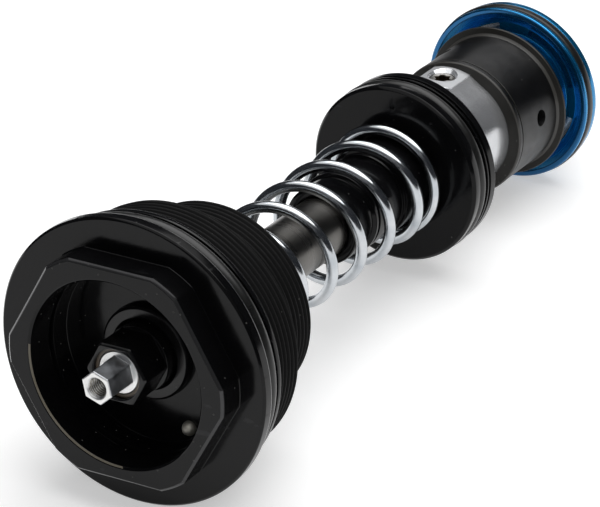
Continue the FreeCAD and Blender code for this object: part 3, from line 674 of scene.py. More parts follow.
def bare_metal(name, colour, gloss, marks=0.12, wear=0.25, scale=7000.0, has_pad=False):
    """Machined metal: circular tool marks, uneven gloss and faint scratches."""
    nodes = Nodes(name)
    turned, place = nodes.turned_space()
    rings = nodes.noise(turned, scale, 4.0, 0.75)
    cloud = nodes.noise(place, 240.0, 4.0, 0.6)
    tone = nodes.math("ADD", nodes.times(rings, 0.2), nodes.times(cloud, 0.8))
    base = nodes.ramp(tone, (0.3, tint(colour, 0.86)), (0.7, tint(colour, 1.08)))
    nodes.plain("Metallic", 1.0)
    if has_pad:
        base = milled_pad_and_painted_highlight(nodes, place, base, colour)
    scored = nodes.times(scratches(nodes, place), wear)
    nodes.link(nodes.mix(scored, base, (*tint(colour, 0.45), 1)), "Base Color")
    uneven = nodes.noise(turned, scale / 3, 3.0, 0.7)
    nodes.link(nodes.ramp(uneven, (0.3, gloss[0]), (0.7, gloss[1])), "Roughness")
    nodes.bump(nodes.math("ADD", rings, nodes.times(scored, -1.5)), marks, 0.00002)
    return nodes.owner


def milled_pad_and_painted_highlight(nodes, place, base, colour):
    """A painted highlight as a lighter colour on what stands above the silver body,
    whose top flat is also duller, and stretched highlights on the body itself."""
    nodes.turned_sheen(0.8)
    pad = nodes.above(nodes.part(place, "Z"), (BODY_R + 0.36) * MM)
    up = nodes.part(nodes.coordinate("Normal"), "Z")
    flat = nodes.times(pad, nodes.above(up, 0.85))
    nodes.link(nodes.add("MapRange", {"Value": flat, "To Min": 0.78, "To Max": 0.55}).outputs[0], "Metallic")
    # Painted highlight: the raised pad's colour is lightened to stand in for reflected light.
    return nodes.mix(pad, base, (*tint(colour, 1.32), 1))


def adjuster_silver():
    """Inner adjuster: bright turned front faces and clouded blue-grey sides, painted as lit and shaded
    copies of one silver, with painted shade in the threaded hole.
    """
    nodes = Nodes("adjuster_silver")
    turned, place = nodes.turned_space()
    cloud = nodes.noise(place, 700.0, 4.0, 0.65)
    rings = nodes.noise(turned, 6000.0, 3.0, 0.7)
    facing = nodes.times(nodes.part(nodes.coordinate("Normal"), "X"), -1.0)
    faced = nodes.ramp(facing, (0.6, 0.0), (0.8, 1.0))
    # Painted light: the faces that look along -X are painted as lit silver and the sides as shaded blue-grey
    # silver.
    sides = nodes.ramp(cloud, (0.3, (0.36, 0.37, 0.39)), (0.7, (0.50, 0.52, 0.55)))
    front = nodes.ramp(rings, (0.3, (0.72, 0.72, 0.71)), (0.7, (0.86, 0.86, 0.85)))
    # Painted shade: the threaded hole is coloured dark brown.
    hole = nodes.below(nodes.part(turned, "Y"), (KNOB_SCREW_R + 0.08) * MM)
    nodes.link(nodes.mix(hole, nodes.mix(faced, sides, front), (0.25, 0.23, 0.19, 1)), "Base Color")
    nodes.link(nodes.ramp(cloud, (0.3, 0.30), (0.7, 0.46)), "Roughness")
    nodes.plain("Metallic", 1.0)
    nodes.bump(rings, 0.05, 0.00002)
    return nodes.owner


def socket_screw():
    """Plated steel screw with painted shade in its socket."""
    nodes = Nodes("screw_head_steel")
    place = nodes.coordinate("Object")
    cloud = nodes.noise(place, 1500.0, 4.0, 0.6)
    split = nodes.add("SeparateXYZ", {0: place})
    axis = (BLEED_X * MM, PAD_Y * MM, 0)
    flat = nodes.add("CombineXYZ", {0: split.outputs["X"], 1: split.outputs["Y"]}).outputs[0]
    away = nodes.add("VectorMath", {0: flat, 1: axis}, operation="DISTANCE").outputs["Value"]
    near = nodes.below(away, (SOCKET_R + SOCKET_LOBE + 0.04) * MM)
    # Painted shade: the socket below the head's top is coloured dark brown.
    inside = nodes.times(near, nodes.below(split.outputs["Z"], (BLEED_HEAD[1] - 0.06) * MM))
    steel = nodes.ramp(cloud, (0.3, (0.28, 0.27, 0.25)), (0.7, (0.40, 0.385, 0.36)))
    nodes.link(nodes.mix(inside, steel, (0.10, 0.078, 0.055, 1)), "Base Color")
    nodes.link(nodes.ramp(cloud, (0.3, 0.28), (0.7, 0.42)), "Roughness")
    nodes.plain("Metallic", 1.0)
    nodes.bump(cloud, 0.08, 0.00002)
    return nodes.owner


def drawn_wire():
    """Bright plated spring wire with faint grey clouding."""
    nodes = Nodes("spring_wire")
    place = nodes.coordinate("Object")
    cloud = nodes.noise(place, 350.0, 5.0, 0.6)
    nodes.link(nodes.ramp(cloud, (0.3, (0.42, 0.45, 0.48)), (0.65, (0.55, 0.57, 0.59))), "Base Color")
    nodes.link(nodes.ramp(nodes.noise(place, 1500.0, 3.0, 0.6), (0.3, 0.11), (0.75, 0.21)), "Roughness")
    nodes.plain("Metallic", 1.0)
    nodes.bump(nodes.noise(place, 2600.0, 3.0, 0.6), 0.05, 0.00003)
    return nodes.owner


def anodised_blue():
    """Clear bright blue anodising over turned alloy."""
    nodes = Nodes("blue_anodised")
    turned, place = nodes.turned_space()
    rings = nodes.noise(turned, 8000.0, 4.0, 0.7)
    cloud = nodes.noise(place, 300.0, 3.0, 0.5)
    dye = nodes.ramp(cloud, (0.3, (0.003, 0.20, 0.45)), (0.7, (0.005, 0.25, 0.54)))
    # Painted shade: the front rim is coloured a darker blue than the dish.
    before = nodes.below(nodes.part(place, "X"), (BASE_FRONT + 0.15) * MM)
    rim = nodes.times(before, nodes.above(nodes.part(turned, "Y"), (BASE_LIP_R - 0.1) * MM))
    nodes.link(nodes.mix(rim, dye, (0.002, 0.10, 0.26, 1)), "Base Color")
    nodes.link(nodes.ramp(rings, (0.3, 0.16), (0.7, 0.28)), "Roughness")
    nodes.plain("Metallic", 0.8)
    nodes.plain("Coat Weight", 0.4)
    nodes.plain("Coat Roughness", 0.12)
    nodes.bump(rings, 0.10, 0.00002)
    return nodes.owner


def rubber():
    """Matte black nitrile with a slight mould texture."""
    nodes = Nodes("seal_rubber")
    place = nodes.coordinate("Object")
    cloud = nodes.noise(place, 500.0, 4.0, 0.6)
    nodes.link(nodes.ramp(cloud, (0.3, 0.006), (0.7, 0.011)), "Base Color")
    nodes.link(nodes.ramp(cloud, (0.3, 0.26), (0.7, 0.36)), "Roughness")
    nodes.plain("Specular IOR Level", 0.4)
    nodes.bump(nodes.noise(place, 6000.0, 3.0, 0.6), 0.15, 0.00003)
    return nodes.owner


def plain_plastic(name, colour, gloss):
    nodes = Nodes(name)
    place = nodes.coordinate("Object")
    cloud = nodes.noise(place, 900.0, 4.0, 0.6)
    nodes.link(nodes.ramp(cloud, (0.3, tint(colour, 0.8)), (0.7, tint(colour, 1.15))), "Base Color")
    nodes.link(nodes.ramp(cloud, (0.3, gloss * 0.85), (0.7, gloss * 1.15)), "Roughness")
    nodes.bump(cloud, 0.1, 0.00002)
    return nodes.owner


FINISHES = {
    "cap_black": anodised_black("cap_black", specular=0.20, is_cap=True),
    "piston_black": anodised_black("piston_black", specular=0.15),
    "adjuster_black": anodised_black("adjuster_black", (0.0045, 0.0045, 0.005), (0.16, 0.28), 0.06, 0.32),
    "silver_alloy": bare_metal("silver_alloy", (0.70, 0.71, 0.73), (0.18, 0.22), 0.04, has_pad=True),
    "shaft_steel": bare_metal("shaft_steel", (0.134, 0.129, 0.121), (0.25, 0.33), 0.03, 0.6, 4000.0),
    "inner_steel": bare_metal("inner_steel", (0.55, 0.56, 0.58), (0.24, 0.36), 0.06),
    "thin_steel": bare_metal("thin_steel", (0.52, 0.53, 0.55), (0.20, 0.34), 0.04),
    "ball_steel": bare_metal("ball_steel", (0.66, 0.64, 0.57), (0.55, 0.65), 0.03, 0.1),
    "screw_steel": bare_metal("screw_steel", (0.46, 0.44, 0.40), (0.26, 0.38), 0.05),
    "spring_wire": drawn_wire(),
    "blue_anodised": anodised_blue(),
    "seal_rubber": rubber(),
    "wiper_brown": plain_plastic("wiper_brown", (0.10, 0.075, 0.05), 0.4),
    "bush_bronze": bare_metal("bush_bronze", (0.62, 0.42, 0.22), (0.3, 0.45)),
}
HOUSING_BLACK = anodised_black("housing_black", gloss=(0.28, 0.40), specular=0.42,
                               face_colour=(0.014, 0.013, 0.011))


def dress_cad_nodes():
    """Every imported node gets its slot's material; replaced ones are hidden later."""
    slots = {entry["node"]: entry["material_slot"] for entry in frame["record"]["subparts"]}
    for name, obj in frame["nodes"].items():
        for place in obj.material_slots:
            place.material = FINISHES[slots[name]]


# Pieces

def top_cap():
    """Leg cap: wrench boss, flange, seal groove, two threads, skirt and cup."""
    boss = hexagon(BOSS_AF, BOSS_ANGLE, BOSS_CORNER_R)
    outline = [
        (BOSS_FRONT, CUP_R + 0.3, EDGE), (BOSS_FRONT, inset(boss, 0.35), EDGE),
        (BOSS_FRONT + 0.35, boss, EDGE), (FLANGE_FRONT, boss, 0.15),
        (FLANGE_FRONT, FLANGE_R - 0.3, EDGE), (FLANGE_FRONT + 0.3, FLANGE_R, EDGE),
        (-0.32, FLANGE_R, 0.2), (0, FLANGE_R - 0.32, 0.2), (0, SEAT_RELIEF_R, EDGE),
        (-SEAT_RELIEF_DEPTH, SEAT_RELIEF_R), (-SEAT_RELIEF_DEPTH, PILOT_R),
        *groove(CAP_GROOVE, PILOT_R, CAP_GROOVE_R, EDGE),
        (PILOT_END - 0.2, PILOT_R, EDGE), (PILOT_END, PILOT_R - 0.3, EDGE),
        (PILOT_END, LEG_THREAD_R - LEG_THREAD_DEPTH),
    ]
    outline += thread(PILOT_END + 0.1, LEG_THREAD_END - 0.35, LEG_THREAD_R, LEG_THREAD_DEPTH, CAP_PITCH)
    outline += [
        (LEG_THREAD_END, LEG_THREAD_R - 0.8, EDGE), (LEG_THREAD_END, TUBE_THREAD_R - TUBE_THREAD_DEPTH),
    ]
    outline += thread(LEG_THREAD_END + 0.1, CAP_END - 0.35, TUBE_THREAD_R, TUBE_THREAD_DEPTH, CAP_PITCH)
    outline += [
        (CAP_END, TUBE_THREAD_R - 0.6, EDGE), (CAP_END, SKIRT_BORE_R + 0.3, EDGE),
        (CAP_END - 0.3, SKIRT_BORE_R, EDGE), (SPRING_SEAT, SKIRT_BORE_R, 0.3),
        (SPRING_SEAT, SPIGOT_R, 0.3), (SPIGOT_END - 0.2, SPIGOT_R, EDGE),
        (SPIGOT_END, SPIGOT_R - 0.2, EDGE), (SPIGOT_END, SHAFT_R + FIT_GAP),
        (ADJUSTER_POCKET_END, SHAFT_R + FIT_GAP), (ADJUSTER_POCKET_END, ADJUSTER_POCKET_R),
        (PLATE_END, ADJUSTER_POCKET_R), (PLATE_END, PLATE_R + FIT_GAP),
        (CUP_FLOOR, PLATE_R + FIT_GAP, 0.05), (CUP_FLOOR, CUP_R, 0.12),
        (CUP_GROOVE[1], CUP_R, 0.02), (CUP_GROOVE[1], CUP_GROOVE_R, EDGE),
        (CUP_GROOVE[0], CUP_GROOVE_R, EDGE), (CUP_GROOVE[0], CUP_R, 0.02),
        (BOSS_FRONT + 0.3, CUP_R, EDGE),
    ]
    angles = columns_for(*hex_corners(BOSS_AF, BOSS_ANGLE, BOSS_CORNER_R), count=360)
    cap = polar("top_cap_turned", outline, angles)
    mouths = [out_at(angle) * DETENT_RADIUS + Vector((CUP_FLOOR - 1, 0, 0)) for angle in DETENT_ANGLES]
    drill(cap, [cylinder("detent_cut", m, Vector((1, 0, 0)), DETENT_BORE_R, 4.0) for m in mouths])
    return finish_piece(cap, "fixed", "cap_black", "top_cap")


def cap_seal():
    ring = torus("cap_seal_ring", sum(CAP_GROOVE) / 2, CAP_GROOVE_R + CAP_SEAL_WIRE_R, CAP_SEAL_WIRE_R)
    return finish_piece(ring, "fixed", "seal_rubber", "cap_seal")


def adjuster_plate():
    plate = polar("adjuster_plate_turned", [
        (PLATE_FRONT, PLATE_HOLE_R + 0.2, EDGE), (PLATE_FRONT, PLATE_R - 0.3, EDGE),
        (PLATE_FRONT + 0.3, PLATE_R, EDGE), (PLATE_END, PLATE_R),
        (PLATE_END, PLATE_HOLE_R), (PLATE_FRONT + 0.2, PLATE_HOLE_R, EDGE),
    ])
    return finish_piece(plate, "fixed", "adjuster_black", "adjuster_plate")


def high_speed_adjuster():
    """Outer hexagon, its round collar and the bore for the inner adjuster."""
    corner_r = HIGH_HEX_AF / math.sqrt(3) - 0.1
    hexa = hexagon(HIGH_HEX_AF, HIGH_HEX_ANGLE, corner_r)
    adjuster = polar("high_speed_hexagon", [
        (HIGH_FRONT, WIPER_POCKET_R + 0.15, EDGE), (HIGH_FRONT, inset(hexa, 0.3), EDGE),
        (HIGH_FRONT + 0.3, hexa, EDGE), (HIGH_HEX_END, hexa, 0.1),
        (HIGH_HEX_END, HIGH_COLLAR_R - 0.05, EDGE), (HIGH_HEX_END + 0.2, HIGH_COLLAR_R, EDGE),
        (HIGH_COLLAR_END, HIGH_COLLAR_R), (HIGH_COLLAR_END, HIGH_FLANGE_R, EDGE),
        (HIGH_FLANGE_END, HIGH_FLANGE_R, EDGE), (HIGH_FLANGE_END, HIGH_STEM_R),
        (HIGH_STEM_END, HIGH_STEM_R, EDGE), (HIGH_STEM_END, ROD_BORE_R), (CLIP_POCKET[1], ROD_BORE_R),
        (CLIP_POCKET[1], CLIP_POCKET_R), (CLIP_POCKET[0], CLIP_POCKET_R), (CLIP_POCKET[0], HIGH_BORE_R),
        (WIPER_POCKET_END, HIGH_BORE_R), (WIPER_POCKET_END, WIPER_POCKET_R),
        (HIGH_FRONT + 0.15, WIPER_POCKET_R, EDGE),
    ], columns_for(*hex_corners(HIGH_HEX_AF, HIGH_HEX_ANGLE, corner_r)))
    return finish_piece(adjuster, "high_adjuster", "adjuster_black", "high_speed_adjuster")


def low_speed_adjuster():
    """Inner silver hexagon with a threaded hole, a disc and a stem."""
    corner_r = LOW_HEX_AF / math.sqrt(3) - 0.05
    hexa = hexagon(LOW_HEX_AF, LOW_HEX_ANGLE, corner_r)
    outline = [(KNOB_SCREW_END + 0.5, 0), (KNOB_SCREW_END, KNOB_SCREW_R)]
    screw = thread(LOW_FRONT + 0.3, KNOB_SCREW_END - 0.1, KNOB_SCREW_R, 0.25, KNOB_SCREW_PITCH, 8, True)
    outline += screw[::-1]
    outline += [
        (LOW_FRONT + 0.25, KNOB_SCREW_R + 0.05), (LOW_FRONT, KNOB_SCREW_R + 0.3, 0.04),
        (LOW_FRONT, inset(hexa, 0.15), 0.05), (LOW_FRONT + 0.15, hexa, 0.05),
        (LOW_DISC_FRONT, hexa, 0.1), (LOW_DISC_FRONT, LOW_STEM_R - 0.15, 0.04),
        (LOW_DISC_FRONT + 0.15, LOW_STEM_R, 0.04), (LOW_COLLAR[0], LOW_STEM_R),
        (LOW_COLLAR[0], LOW_COLLAR_R, 0.05), (LOW_COLLAR[1], LOW_COLLAR_R, 0.05),
        (LOW_COLLAR[1], LOW_ROD_HOLE_R), (LOW_ROD_HOLE_FRONT, LOW_ROD_HOLE_R), (LOW_ROD_HOLE_FRONT, 0),
    ]
    adjuster = polar("low_speed_hexagon", outline,
                     columns_for(*hex_corners(LOW_HEX_AF, LOW_HEX_ANGLE, corner_r)), closed=False)
    return finish_piece(adjuster, "low_adjuster", "silver_alloy", "low_speed_adjuster",
                        material=adjuster_silver())


def damper_shaft():
    shaft = polar("damper_shaft_ground", [
        (SHAFT_FRONT, SHAFT_BORE_R), (SHAFT_FRONT, SHAFT_R - 0.3, EDGE), (SHAFT_FRONT + 0.3, SHAFT_R, EDGE),
        (SHAFT_END - 0.3, SHAFT_R, EDGE), (SHAFT_END, SHAFT_R - 0.3, EDGE), (SHAFT_END, SHAFT_BORE_R),
    ])
    return finish_piece(shaft, "fixed", "shaft_steel", "damper_shaft")


def piston_spring():
    """The main spring's one wire, closer wound at both ends."""
    first = SPRING_SEAT + WIRE_R
    length = PISTON_FRONT - WIRE_R - first
    dead_rise = DEAD_TURNS * DEAD_PITCH
    ramp_rise = RAMP_TURNS * (SPRING_PITCH + DEAD_PITCH) / 2
    turns = 2 * (DEAD_TURNS + RAMP_TURNS) + (length - 2 * dead_rise - 2 * ramp_rise) / SPRING_PITCH

    def rise(turn):
        if turn <= DEAD_TURNS:
            return DEAD_PITCH * turn
        past = turn - DEAD_TURNS
        if past <= RAMP_TURNS:
            return dead_rise + DEAD_PITCH * past + (SPRING_PITCH - DEAD_PITCH) * past ** 2 / (2 * RAMP_TURNS)
        return dead_rise + ramp_rise + SPRING_PITCH * (past - RAMP_TURNS)

    def place(turn):
        return first + (rise(turn) if turn <= turns / 2 else length - rise(turns - turn))

    live = DEAD_TURNS + RAMP_TURNS
    phase_turn = live + (SPRING_PHASE_X - place(live)) / SPRING_PITCH
    spring = wound("piston_spring_wire", turns, place, SPRING_R, WIRE_R, SPRING_PHASE - 360 * phase_turn)
    finish_piece(spring, "fixed", "spring_wire", "piston_spring")
    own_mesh(spring)
    return spring


def inner_springs():
    """The hidden springs that the joints work, each a copy of its imported mesh as it stands."""
    for joint in frame["record"]["behaviour"]["joints"]:
        for entry in joint.get("deforming_nodes", ()):
            node = entry["node"]
            if node == "piston_spring":
                continue
            spring = add(node + "_wire", frame["nodes"][node].data.copy())
            weld(spring)
            finish_piece(spring, "fixed", "spring_wire", node)
            still_end = entry["fixed_end_x_m"]
            length = still_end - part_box(node)[0][0]
            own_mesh(spring)


def floating_piston():
    piston = polar("floating_piston_turned", [
        (PISTON_FRONT, HUB_R + 0.02), (PISTON_FRONT, PISTON_R - PISTON_CHAMFER, EDGE),
        (PISTON_FRONT + PISTON_CHAMFER, PISTON_R, EDGE),
        *groove(PISTON_GROOVE, PISTON_R, PISTON_GROOVE_R),
        *groove(WITNESS_GROOVE, PISTON_R, PISTON_R - WITNESS_DEPTH),
        (PISTON_END - PISTON_CHAMFER, PISTON_R, EDGE), (PISTON_END, PISTON_R - PISTON_CHAMFER, EDGE),
        (PISTON_END, HUB_R + 0.02),
    ])
    centre = out_at(DIMPLE_ANGLE) * DIMPLE_RADIUS + Vector((PISTON_FRONT - 0.3, 0, 0))
    drill(piston, [cylinder("dimple_cut", centre, Vector((1, 0, 0)), *DIMPLE_CONE, 32)])
    return finish_piece(piston, "piston", "piston_black", "floating_piston")


def piston_seal():
    ring = torus("piston_seal_ring", sum(PISTON_GROOVE) / 2, PISTON_SEAL_R, PISTON_SEAL_WIRE_R)
    return finish_piece(ring, "piston", "seal_rubber", "piston_seal")


def piston_hub():
    outline = [(HUB_FRONT, BUSH_R + FIT_GAP), (HUB_FRONT, HUB_NOSE_R, EDGE), (HUB_FRONT + 0.4, HUB_R, EDGE)]
    for span in HUB_GROOVES:
        outline += groove(span, HUB_R, HUB_R - HUB_GROOVE_DEPTH)
    outline += [
        (HUB_SHOULDER, HUB_R, EDGE), (HUB_SHOULDER, HUB_SHOULDER_R, EDGE),
        (PISTON_FRONT, HUB_SHOULDER_R), (PISTON_FRONT, HUB_R - FIT_GAP), (HUB_END, HUB_R - FIT_GAP, EDGE),
        (HUB_END, BUSH_R + FIT_GAP), (HUB_RIB[1], BUSH_R + FIT_GAP), (HUB_RIB[1], HUB_RIB_R),
        (HUB_RIB[0], HUB_RIB_R), (HUB_RIB[0], BUSH_R + FIT_GAP),
    ]
    hub = polar("piston_hub_turned", outline)
    return finish_piece(hub, "piston", "piston_black", "piston_hub")


def hub_cap():
    nose = polar("hub_cap_turned", [
        (HUB_NOSE_FRONT, SHAFT_R + 0.25, EDGE), (HUB_NOSE_FRONT, HUB_NOSE_R, 0.5),
        (HUB_FRONT, HUB_NOSE_R, EDGE), (HUB_FRONT, BUSH_R), (HUB_CAP_END, BUSH_R),
        (HUB_CAP_END, SHAFT_R + 0.15), (HUB_NOSE_FRONT + 0.1, SHAFT_R + 0.15, EDGE),
    ])
    return finish_piece(nose, "piston", "piston_black", "hub_cap")


def pad_radius(x, angle):
    """The silver body's radius: the turned cylinder, or the pad raised on it.
    The pad has a crowned top and round corners, and a facet runs out beside it."""
    out = out_at(angle)
    if not PAD_LOWEST_ANGLE < angle < PAD_FACET_ANGLE:
        return BODY_R
    centre = Vector((0, PAD_Y, PAD_TOP - PAD_CROWN_R))
    crown = centre.dot(out) + math.sqrt(PAD_CROWN_R ** 2 - centre.cross(out).length_squared)
    across = abs(crown * out.y - PAD_Y) - PAD_WIDTH / 2 + PAD_CORNER_R
    along = PAD_FRONT + PAD_CORNER_R - x
    if across > 0 and along > 0:
        outside = math.hypot(across, along) - PAD_CORNER_R
    else:
        outside = max(across, along) - PAD_CORNER_R
    if outside <= 0:
        return crown - PAD_EDGE * max(0, 1 + outside / PAD_EDGE)
    facet = BODY_R
    if crown * out.y < PAD_Y - PAD_WIDTH / 2:
        lift = min(1, max(0, x - PAD_FRONT + PAD_FACET_RUN_IN))
        facet += (BODY_R / math.cos(math.radians(PAD_FACET_ANGLE - angle)) - BODY_R) * lift
    fall = min(1, outside / PAD_FOOT_R)
    return facet + max(0, crown - PAD_EDGE - facet) * (1 - fall) ** 3


def valve_body():
    """Silver body with a raised pad, the screw's hole in it and the stud. The mesh
    has closer rows and columns where the pad stands."""
    pad_rows = [PAD_FRONT - PAD_FACET_RUN_IN + 0.1 * i for i in range(8)]
    pad_rows += [PAD_FRONT - PAD_FOOT_R + 0.05 * i for i in range(36)]
    pad_rows += [PAD_FRONT + 1.5 + 0.25 * i for i in range(18)]
    outline = [
        (BODY_FRONT, SHAFT_R + FIT_GAP), (BODY_FRONT, BODY_R - 0.5, EDGE), (BODY_FRONT + 0.5, BODY_R, EDGE),
    ]
    outline += [(x, lambda angle, x=x: pad_radius(x, angle)) for x in pad_rows if x < BODY_END - 0.1]
    outline += [
        (BODY_END, lambda angle: pad_radius(BODY_END, angle), 0.04),
        (BODY_END, STUD_SHOULDER_R), (STUD_SHOULDER, STUD_SHOULDER_R), (STUD_SHOULDER, STUD_R),
        (STUD_END - 0.5, STUD_R, EDGE), (STUD_END, STUD_R - 0.5, EDGE), (STUD_END, BLEED_HOLE_R + 0.1, EDGE),
        (OIL_BORE_END, BLEED_HOLE_R), (OIL_BORE_END, OIL_BORE_R), (SHAFT_SOCKET_END, OIL_BORE_R),
        (SHAFT_SOCKET_END, SHAFT_R + FIT_GAP),
    ]
    fine = [54 + 0.3 * i for i in range(235)]
    coarse = [a for a in columns_for() if not fine[0] - 0.5 < a < fine[-1] + 0.3]
    body = polar("valve_body_turned", outline, sorted(fine + coarse))
    up = Vector((0, 0, 1))
    seat = Vector((BLEED_X, PAD_Y, BLEED_HEAD[0]))
    bottom = Vector((BLEED_X, PAD_Y, BLEED_BOTTOM - 0.1))
    drill(body, [
        cylinder("sink_cut", Vector((BLEED_X, PAD_Y, BLEED_HEAD[1] - 0.12)), up, BLEED_MOUTH_R - 0.58, 0.9,
                 BLEED_MOUTH_R + 0.22, 96),
        cylinder("head_cut", seat, up, BLEED_HEAD_R + 0.09, 1.6, None, 96),
        cylinder("shank_cut", bottom, up, BLEED_R + 0.06, 2.5, None, 96),
    ])
    return finish_piece(body, "fixed", "silver_alloy", "valve_body", crease=12)


def bleed_screw():
    """Sunk round-headed screw with a six-lobed socket, turned about X, then stood up."""
    def lobes(angle):
        return SOCKET_R + SOCKET_LOBE * math.cos(math.radians(6 * angle))

    seat, top = BLEED_HEAD
    floor = top - SOCKET_DEPTH
    screw = polar("bleed_screw_turned", [
        (BLEED_BOTTOM, 0), (BLEED_BOTTOM, BLEED_R - 0.3, 0.1), (BLEED_BOTTOM + 0.3, BLEED_R, 0.1),
        (seat, BLEED_R), (seat, BLEED_HEAD_R, 0.05), (top - 0.15, BLEED_HEAD_R, 0.06),
        (top, BLEED_HEAD_R - 0.15, 0.06), (top, lambda a: lobes(a) + 0.06, 0.02),
        (top - 0.08, lobes, 0.02), (floor, lobes), (floor - 0.25, 0),
    ], columns_for(count=144), closed=False)
    turn = Vector((1, 0, 0)).rotation_difference(Vector((0, 0, 1))).to_matrix()
    for vertex in screw.data.vertices:
        vertex.co = turn @ vertex.co + Vector((BLEED_X, PAD_Y, 0)) * MM
    return finish_piece(screw, "fixed", "screw_steel", "bleed_screw", material=socket_screw())


def valve_housing():
    """Black cup with a thin lip, a groove, a flange and plain oil holes."""
    front, back = HOUSING_FLANGE
    bore_r = STUD_SHOULDER_R + FIT_GAP
    housing = polar("valve_housing_turned", [
        (BODY_END, bore_r), (BODY_END, HOUSING_LIP_R - 0.2, EDGE), (BODY_END + 0.2, HOUSING_LIP_R, EDGE),
        (BODY_END + 0.9, HOUSING_LIP_R, EDGE), (BODY_END + 0.9, HOUSING_R - 0.2),
        (BODY_END + 1.2, HOUSING_R - 0.2), (BODY_END + 1.2, HOUSING_R, EDGE),
        (HOUSING_SHOULDER, HOUSING_R, EDGE), (front, HOUSING_SHOULDER_R, EDGE),
        (front, HOUSING_FLANGE_R - 0.08, EDGE), (front + 0.08, HOUSING_FLANGE_R, EDGE),
        (front + 0.35, HOUSING_FLANGE_R, EDGE), (back, HOUSING_FLANGE_R - 0.7, EDGE),
        (back, HOUSING_CAVITY_R, EDGE), (HOUSING_FLOOR, HOUSING_CAVITY_R), (HOUSING_FLOOR, bore_r),
    ])
    cutters = [cylinder("port_cut", out_at(a) * 7 + Vector((PORT_X, 0, 0)), out_at(a), PORT_R, 5)
               for a in PORT_ANGLES]
    drill(housing, cutters)
    return finish_piece(housing, "fixed", "piston_black", "valve_housing", material=HOUSING_BLACK)


def base_piston():
    """Blue dished piston with four inner and four outer curved ports."""
    piston = polar("base_piston_turned", [
        (VALVE_SEAT, STUD_R + FIT_GAP), (VALVE_SEAT, HUB_SEAT_R, EDGE), (DISH_FLOOR, HUB_SEAT_R, 0.15),
        (DISH_FLOOR, SHIM_SEAT[0], 0.15), (VALVE_SEAT, SHIM_SEAT[0], EDGE), (VALVE_SEAT, SHIM_SEAT[1], EDGE),
        (DISH_FLOOR, SHIM_SEAT[1], 0.1), (DISH_FLOOR, DISH_R, 0.2), (BASE_FRONT, BASE_LIP_R, EDGE),
        (BASE_FRONT, BASE_R - 0.2, EDGE), (BASE_FRONT + 0.2, BASE_R, EDGE),
        *groove(BASE_GROOVE, BASE_R, BASE_GROOVE_R), (BASE_END - 0.2, BASE_R, EDGE),
        (BASE_END, BASE_R - 0.2, EDGE), (BASE_END, STUD_R + FIT_GAP),
    ])
    span = (DISH_FLOOR - 1, BASE_END + 1)
    cutters = []
    for i in range(4):
        cutters.append(kidney("port_cut", *span, *INNER_PORTS, 90 * i, INNER_PORT_ANGLE))
        cutters.append(kidney("port_cut", *span, *OUTER_PORTS, 90 * i + 45, OUTER_PORT_ANGLE))
    drill(piston, cutters)
    return finish_piece(piston, "fixed", "blue_anodised", "base_piston")


def base_piston_seal():
    ring = polar("base_seal_ring", [
        (BASE_GROOVE[0] + 0.05, BASE_GROOVE_R), (BASE_GROOVE[0] + 0.05, BASE_SEAL_R, 0.35),
        (BASE_GROOVE[1] - 0.05, BASE_SEAL_R, 0.35), (BASE_GROOVE[1] - 0.05, BASE_GROOVE_R),
    ])
    return finish_piece(ring, "fixed", "seal_rubber", "base_piston_seal")


def valve_nut():
    corner_r = NUT_AF / math.sqrt(3) - 0.1
    hexa = hexagon(NUT_AF, 0, corner_r)
    start = GUIDE_FLANGE[1]
    nut = polar("valve_nut_turned", [
        (start, STUD_R + 0.1), (start, inset(hexa, 0.35), EDGE), (start + 0.25, hexa, EDGE),
        (NUT_END - 0.3, hexa, EDGE), (NUT_END, inset(hexa, 0.45), EDGE), (NUT_END, STUD_R + 0.3, EDGE),
        (NUT_END - 0.2, STUD_R + 0.05, EDGE),
    ], columns_for(*hex_corners(NUT_AF, 0, corner_r)))
    return finish_piece(nut, "fixed", "inner_steel", "valve_nut")


# Studio, in metres

def standing_floor():
    """A plane under the flange's rim and the blue piston's rim, and its tilt."""
    near = Vector((FLANGE_FRONT + 1, 0, -FLANGE_R)) * MM
    far = Vector((BASE_END - 1, 0, -BASE_SEAL_R)) * MM
    along = (far - near).normalized()
    up = along.cross(Vector((0, 1, 0))).normalized()
    up = up if up.z > 0 else -up
    return near, up


def backdrop_material(name, colour, glow):
    """A matte surface that glows where the camera or a reflection sees it."""
    nodes = Nodes(name)
    nodes.plain("Base Color", (*colour, 1))
    nodes.plain("Roughness", 0.9)
    nodes.plain("Specular IOR Level", 0.1)
    light = nodes.add("Emission", {"Color": (1, 1, 1, 1), "Strength": glow})
    both = nodes.add("AddShader", {0: nodes.shader.outputs[0], 1: light.outputs[0]})
    switch = nodes.add("MixShader", {0: nodes.seen(), 1: nodes.shader.outputs[0], 2: both.outputs[0]})
    out = nodes.tree.nodes["Material Output"]
    nodes.tree.links.new(switch.outputs[0], out.inputs["Surface"])
    return nodes.owner


def floor():
    place, up = standing_floor()
    size = 0.9
    side = up.orthogonal().normalized()
    other = up.cross(side)
    corners = [place + side * size * a + other * size * b for a, b in ((-1, -1), (1, -1), (1, 1), (-1, 1))]
    plane = built("floor", [tuple(c) for c in corners], [(0, 1, 2, 3)])
    plane.data.materials.append(backdrop_material("floor", (0.80, 0.80, 0.80), 0.45))


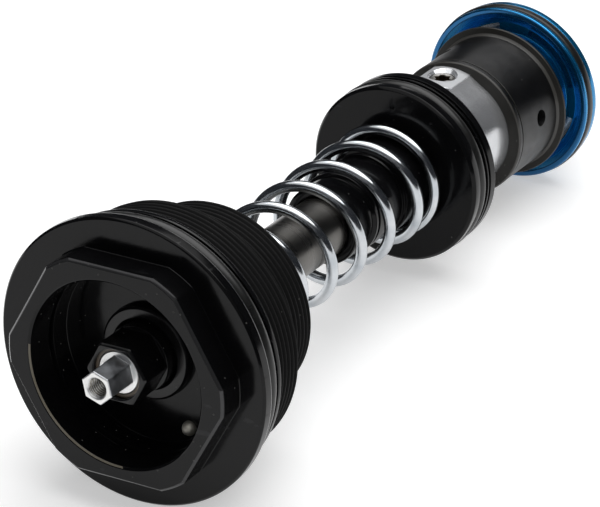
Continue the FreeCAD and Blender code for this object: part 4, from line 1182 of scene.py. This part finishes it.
def studio_wall():
    """A dark ring round the set, open low down behind it; the camera sees past it."""
    count = 72
    centre_x = 0.05
    radius = 0.27
    levels = (-0.06, 0.098, 0.27)
    opening = (-5, 25)
    vertices = []
    for i in range(count):
        turn = 2 * math.pi * i / count
        for z in levels:
            vertices.append((centre_x + radius * math.cos(turn), radius * math.sin(turn), z))
    faces = []
    for i in range(count):
        a, b = 3 * i, 3 * ((i + 1) % count)
        faces.append((a + 1, b + 1, b + 2, a + 2))
        angle = (360 * (i + 0.5) / count + 180) % 360 - 180
        if not opening[0] < angle < opening[1]:
            faces.append((a, b, b + 1, a + 1))
    wall = built("studio_wall", vertices, faces)
    nodes = Nodes("studio_wall")
    nodes.plain("Base Color", (0.05, 0.053, 0.06, 1))
    nodes.plain("Roughness", 1.0)
    nodes.plain("Specular IOR Level", 0.0)
    wall.data.materials.append(nodes.owner)
    wall.visible_camera = False
    wall.visible_shadow = False


def area_light(name, place, aim, size, power, colour=(1, 1, 1)):
    data = bpy.data.lights.new(name, "AREA")
    data.shape = "RECTANGLE"
    data.size, data.size_y = size
    data.energy = power
    data.color = colour
    lamp = bpy.data.objects.new(name, data)
    lamp.location = place
    lamp.rotation_mode = "QUATERNION"
    lamp.rotation_quaternion = (Vector(aim) - Vector(place)).to_track_quat("-Z", "Y")
    bpy.context.collection.objects.link(lamp)


def lights():
    centre = (0.045, 0, 0)
    area_light("ceiling", (0.15, -0.05, 0.75), centre, (1.10, 0.80), 6.0)
    area_light("front_fill", (-0.55, -0.25, 0.35), centre, (0.35, 0.35), 0.8)


def world():
    """White, and dimmer as a light than where it is seen."""
    nodes = Nodes("studio", bpy.data.worlds, "Background")
    bpy.context.scene.world = nodes.owner
    level = nodes.add("MapRange", {"Value": nodes.seen(), "To Min": 0.45, "To Max": 1.0})
    nodes.link(level.outputs[0], "Strength")
    nodes.plain("Color", (1, 1, 1, 1))


def camera():
    """The photograph's view: a long lens, without roll, from above the cap's end."""
    data = bpy.data.cameras.new("camera")
    data.sensor_fit = "HORIZONTAL"
    data.sensor_width = 36.0
    data.lens = CAMERA_LENS
    data.clip_start, data.clip_end = 0.05, 10.0
    view = bpy.data.objects.new("camera", data)
    view.location = Vector(CAMERA_PLACE) * MM
    view.rotation_mode = "QUATERNION"
    view.rotation_quaternion = Vector(CAMERA_LOOK).to_track_quat("-Z", "Y")
    bpy.context.collection.objects.link(view)
    bpy.context.scene.camera = view


def build():
    dress_cad_nodes()
    top_cap()
    cap_seal()
    adjuster_plate()
    high_speed_adjuster()
    low_speed_adjuster()
    damper_shaft()
    piston_spring()
    inner_springs()
    floating_piston()
    piston_seal()
    piston_hub()
    hub_cap()
    valve_body()
    bleed_screw()
    valve_housing()
    base_piston()
    base_piston_seal()
    valve_nut()


build()
camera()
floor()
studio_wall()
lights()
world()
bpy.context.scene.view_settings.view_transform = "Standard"
